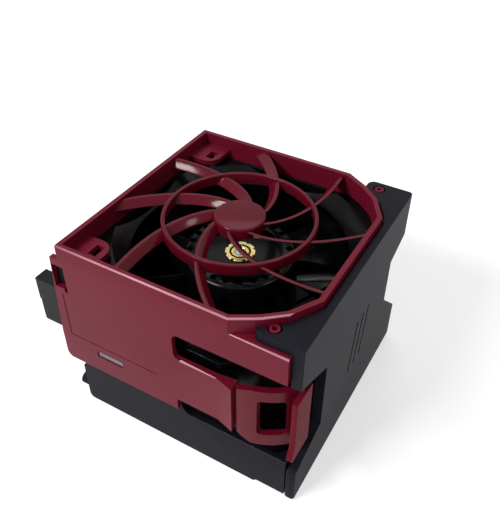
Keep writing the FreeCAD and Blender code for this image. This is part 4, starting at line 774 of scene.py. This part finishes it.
def bush():
    """Turned insert with a scalloped collar, and a groove round the shaft that carries painted
    shade.
    """
    top, foot = HUB_TOP - 0.95 * MM, HUB_CEILING - 1.5 * MM
    shelf = HUB_TOP - HUB_RECESS + 0.05 * MM
    groove_in, groove_out, groove_deep = 2.3 * MM, 2.9 * MM, 0.35 * MM
    slope, chamfer, lead_in = 0.1 * MM, 0.12 * MM, 0.09 * MM
    lip = top - 0.05 * MM
    section = [(BUSH_BORE, foot), (BUSH_NECK, foot), (BUSH_NECK, shelf), (BUSH_RADIUS, shelf),
               (BUSH_RADIUS, top - chamfer), (BUSH_RADIUS - chamfer, top), (groove_out, top),
               (groove_out - slope, top - groove_deep), (groove_in + slope, top - groove_deep),
               (groove_in, lip), (BUSH_BORE + lead_in, lip), (BUSH_BORE, lip - lead_in)]
    bites = {"Cuts": 8, "Ring radius": BUSH_RADIUS, "Cut radius": BUSH_RADIUS / 8,
             "Depth": 2 * (top - shelf) + 0.2 * MM, "Middle": top}
    piece = cut_in_ring("bush_scallops", bites, lathed("scalloped_bush", section), 16,
                        "turned_brass")
    place(piece, "rotor_bush")
    # painted shade darkens the groove's sides and floor
    piece.data.materials.append(MATERIALS["oiled_brass"])
    for polygon in piece.data.polygons:
        x, y, z = polygon.center
        if groove_in < math.hypot(x, y) < groove_out and z < top - slope < z + 0.5 * MM:
            polygon.material_index = 1


# ---- outlet guard ----
def outlet_grille():
    """Flat rings and spokes in the duct's mouth."""
    sizes = {"Outer radius": DUCT_MOUTH - OUTLET_BAR / 2, "Bar": OUTLET_BAR,
             "Thickness": OUTLET_THICK, "Edge round": 0.25 * MM, "Spokes": 4,
             "Disc radius": 5.0 * MM}
    tree, size = new_rule("outlet_grille", sizes)
    join = add(tree, "GeometryNodeJoinGeometry")
    half = add(tree, "ShaderNodeMath", {0: size["Thickness"], 1: 0.5}, operation="MULTIPLY")
    lift = add(tree, "ShaderNodeCombineXYZ", {"Z": half.outputs[0]})
    section = soft_bar(tree, size["Bar"], size["Thickness"], size["Edge round"], 3)
    for share in OUTLET_RINGS:
        radius = add(tree, "ShaderNodeMath", {0: size["Outer radius"], 1: share},
                     operation="MULTIPLY")
        circle = add(tree, "GeometryNodeCurvePrimitiveCircle",
                     {"Resolution": 96, "Radius": radius.outputs[0]})
        raised = add(tree, "GeometryNodeSetPosition",
                     {"Geometry": circle.outputs[0], "Offset": lift.outputs[0]})
        tree.links.new(swept(tree, raised.outputs[0], section), join.inputs[0])
    end = add(tree, "ShaderNodeCombineXYZ", {"X": size["Outer radius"], "Z": half.outputs[0]})
    line = add(tree, "GeometryNodeCurvePrimitiveLine",
               {"Start": lift.outputs[0], "End": end.outputs[0]})
    spoke = swept(tree, line.outputs[0], section)
    tree.links.new(ring_of(tree, spoke, size["Spokes"]), join.inputs[0])
    disc = add(tree, "GeometryNodeMeshCylinder",
               {"Vertices": 64, "Radius": size["Disc radius"], "Depth": size["Thickness"]})
    seated = add(tree, "GeometryNodeTransform",
                 {"Geometry": disc.outputs["Mesh"], "Translation": lift.outputs[0]})
    tree.links.new(seated.outputs[0], join.inputs[0])
    end_rule(tree, join.outputs[0], SLOT_OF["outlet_guard"])
    return made_by(tree, sizes, blank("outlet_grille"))


place(swirl_vanes(), "finger_guard")
place(guard_ring(), "finger_guard")
place(guard_hub(), "finger_guard")
place(impeller_blades(), "impeller")
place(hub_cup(), "impeller")
place(outlet_grille(), "outlet_guard")
bush()


# ---- small mouldings that only show ----
def frame_collar():
    """Eight-sided stiffening collar round the fan's barrel, seen through the latch slot."""
    sizes = {"Flat": 29.95 * MM, "Bar": 1.2 * MM, "Height": 38.1 * MM, "Edge round": 0.2 * MM}
    tree, size = new_rule("frame_collar", sizes)
    half_bar = add(tree, "ShaderNodeMath", {0: size["Bar"], 1: 0.5}, operation="MULTIPLY")
    middle = add(tree, "ShaderNodeMath", {0: size["Flat"], 1: half_bar.outputs[0]},
                 operation="SUBTRACT")
    corner = add(tree, "ShaderNodeMath", {0: middle.outputs[0], 1: math.cos(math.pi / 8)},
                 operation="DIVIDE")
    level = add(tree, "ShaderNodeMath", {0: size["Height"], 1: half_bar.outputs[0]},
                operation="SUBTRACT")
    circle = add(tree, "GeometryNodeCurvePrimitiveCircle",
                 {"Resolution": 8, "Radius": corner.outputs[0]})
    lift = add(tree, "ShaderNodeCombineXYZ", {"Z": level.outputs[0]})
    seated = add(tree, "GeometryNodeTransform",
                 {"Geometry": circle.outputs[0], "Translation": lift.outputs[0],
                  "Rotation": (0.0, 0.0, math.pi / 8)})
    section = soft_bar(tree, size["Bar"], size["Bar"], size["Edge round"], 3)
    end_rule(tree, swept(tree, seated.outputs[0], section), "fan_plastic")
    collar = made_by(tree, sizes, blank("frame_collar"))
    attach(collar, "module")


def small_block(name, low, high, finish):
    """Plain block between two corners in millimetres, with softened edges."""
    low, high = Vector(low) * MM, Vector(high) * MM
    work = bmesh.new()
    bmesh.ops.create_cube(work, size=1.0)
    for vertex in work.verts:
        vertex.co = (low + high) / 2 + Vector(
            [vertex.co[axis] * (high - low)[axis] for axis in range(3)])
    mesh = bpy.data.meshes.new(name)
    work.to_mesh(mesh)
    work.free()
    block = softened(link(name, mesh), 0.03)
    block.data.materials.append(MATERIALS[finish])
    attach(block, "module")


frame_collar()
# thin pale sheet on the snap hook's face in the panel's slot: a painted reflection
small_block("hook_face", (-24.0, -32.66, 23.3), (-16.0, -32.58, 25.1), "hook_reflection_grey")
# darkest black lip that closes the slit beside the block behind the flange's window: a dark sheet
# standing in for the shade there
small_block("stop_lip", (-34.7, -31.5, 43.8), (-33.9, -31.2, 51.7), "fan_plastic")

# ---- mouldings with rounded edges ----
EDGE_ROUND_MM = {
    "inlet_cover": 0.6, "side_wall": 0.5, "carrier_tray": 0.4, "fan_housing": 0.2,
    "release_tab": 0.35, "connector_housing": 0.15, "shaft": 0.12,
}
for node, width in EDGE_ROUND_MM.items():
    place(softened(welded_copy(node, node + "_moulding"), width), node)

# the bowed leaf between the fixed lip and the finger plate: dressed, and left out of every body
leaf = softened(welded_copy("latch_spring", "latch_leaf"), 0.35)
dress(leaf, "latch_spring")
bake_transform(leaf)

# hidden pieces keep their CAD shape
for node, piece in frame["nodes"].items():
    piece.data.materials.clear()
    piece.data.materials.append(MATERIALS[SLOT_OF[node]])


# ---- stage ----
def seen_directly(tree):
    """1 for rays from the camera, off a glossy surface or through a clear one, and else 0."""
    ray = add(tree, "ShaderNodeLightPath").outputs
    direct = add(tree, "ShaderNodeMath", {0: ray["Is Camera Ray"], 1: ray["Is Glossy Ray"]},
                 operation="MAXIMUM")
    return add(tree, "ShaderNodeMath", {0: direct.outputs[0], 1: ray["Is Transmission Ray"]},
               operation="MAXIMUM").outputs[0]


def stage_floor():
    """Wide pale floor that reads as plain white and keeps the module's soft shadow."""
    material, tree = new_material("studio_floor")
    glow_level = add(tree, "ShaderNodeMath", {0: seen_directly(tree), 1: FLOOR_GLOW},
                     operation="MULTIPLY")
    paint = add(tree, "ShaderNodeBsdfDiffuse", {"Color": hex_colour("#e6e6e6")})
    glow = add(tree, "ShaderNodeEmission", {"Strength": glow_level.outputs[0]})
    both = add(tree, "ShaderNodeAddShader", {0: paint.outputs[0], 1: glow.outputs[0]})
    add(tree, "ShaderNodeOutputMaterial", {"Surface": both.outputs[0]})
    mesh = bpy.data.meshes.new("studio_floor")
    level = cad_box[0][2] - FLOOR_GAP
    corners = [(across * FLOOR_HALF, along * FLOOR_HALF, level)
               for across, along in ((-1, -1), (1, -1), (1, 1), (-1, 1))]
    mesh.from_pydata(corners, [], [(0, 1, 2, 3)])
    mesh.materials.append(material)
    link("studio_floor", mesh)


def studio_world():
    """Even sky, white to the eye and dimmer as a light."""
    world = bpy.data.worlds.new("studio_world")
    world.use_nodes = True
    tree = world.node_tree
    tree.nodes.clear()
    level = add(tree, "ShaderNodeMapRange", {"Value": seen_directly(tree),
                                             "To Min": SKY_LEVEL, "To Max": 1.0})
    sky = add(tree, "ShaderNodeBackground", {"Strength": level.outputs[0]})
    add(tree, "ShaderNodeOutputWorld", {"Surface": sky.outputs[0]})
    bpy.context.scene.world = world


def softbox(name, watts, size, place_at, aim=(0.0, 0.0, 0.03)):
    """Rectangular lamp turned towards the middle of the module."""
    data = bpy.data.lights.new(name, "AREA")
    data.energy = watts
    data.shape = "RECTANGLE"
    data.size, data.size_y = size
    lamp = bpy.data.objects.new(name, data)
    lamp.location = place_at
    lamp.rotation_euler = (Vector(aim) - Vector(place_at)).to_track_quat("-Z", "Y").to_euler()
    bpy.context.scene.collection.objects.link(lamp)


def camera():
    """Looks down at the latch corner from the front right."""
    data = bpy.data.cameras.new("camera")
    data.lens = 44.71
    data.sensor_width = 36.0
    data.shift_x = -0.023
    data.shift_y = -0.045
    data.clip_start = 0.01
    seat = bpy.data.objects.new("camera", data)
    seat.location = (0.06808, -0.11374, 0.15535)
    seat.rotation_euler = Euler([math.radians(turn) for turn in (51.632, -0.986, 29.220)])
    bpy.context.scene.collection.objects.link(seat)
    bpy.context.scene.camera = seat


stage_floor()
studio_world()
softbox("key_softbox", 3.95, (0.32, 0.11), (-0.29, -0.50, 0.58))
softbox("fill_softbox", 0.35, (0.1, 0.1), (0.52, 0.0, 0.56))
softbox("top_softbox", 0.7, (0.4, 0.4), (-0.2, 0.4, 0.7))
camera()
bpy.context.scene.view_settings.view_transform = "Standard"
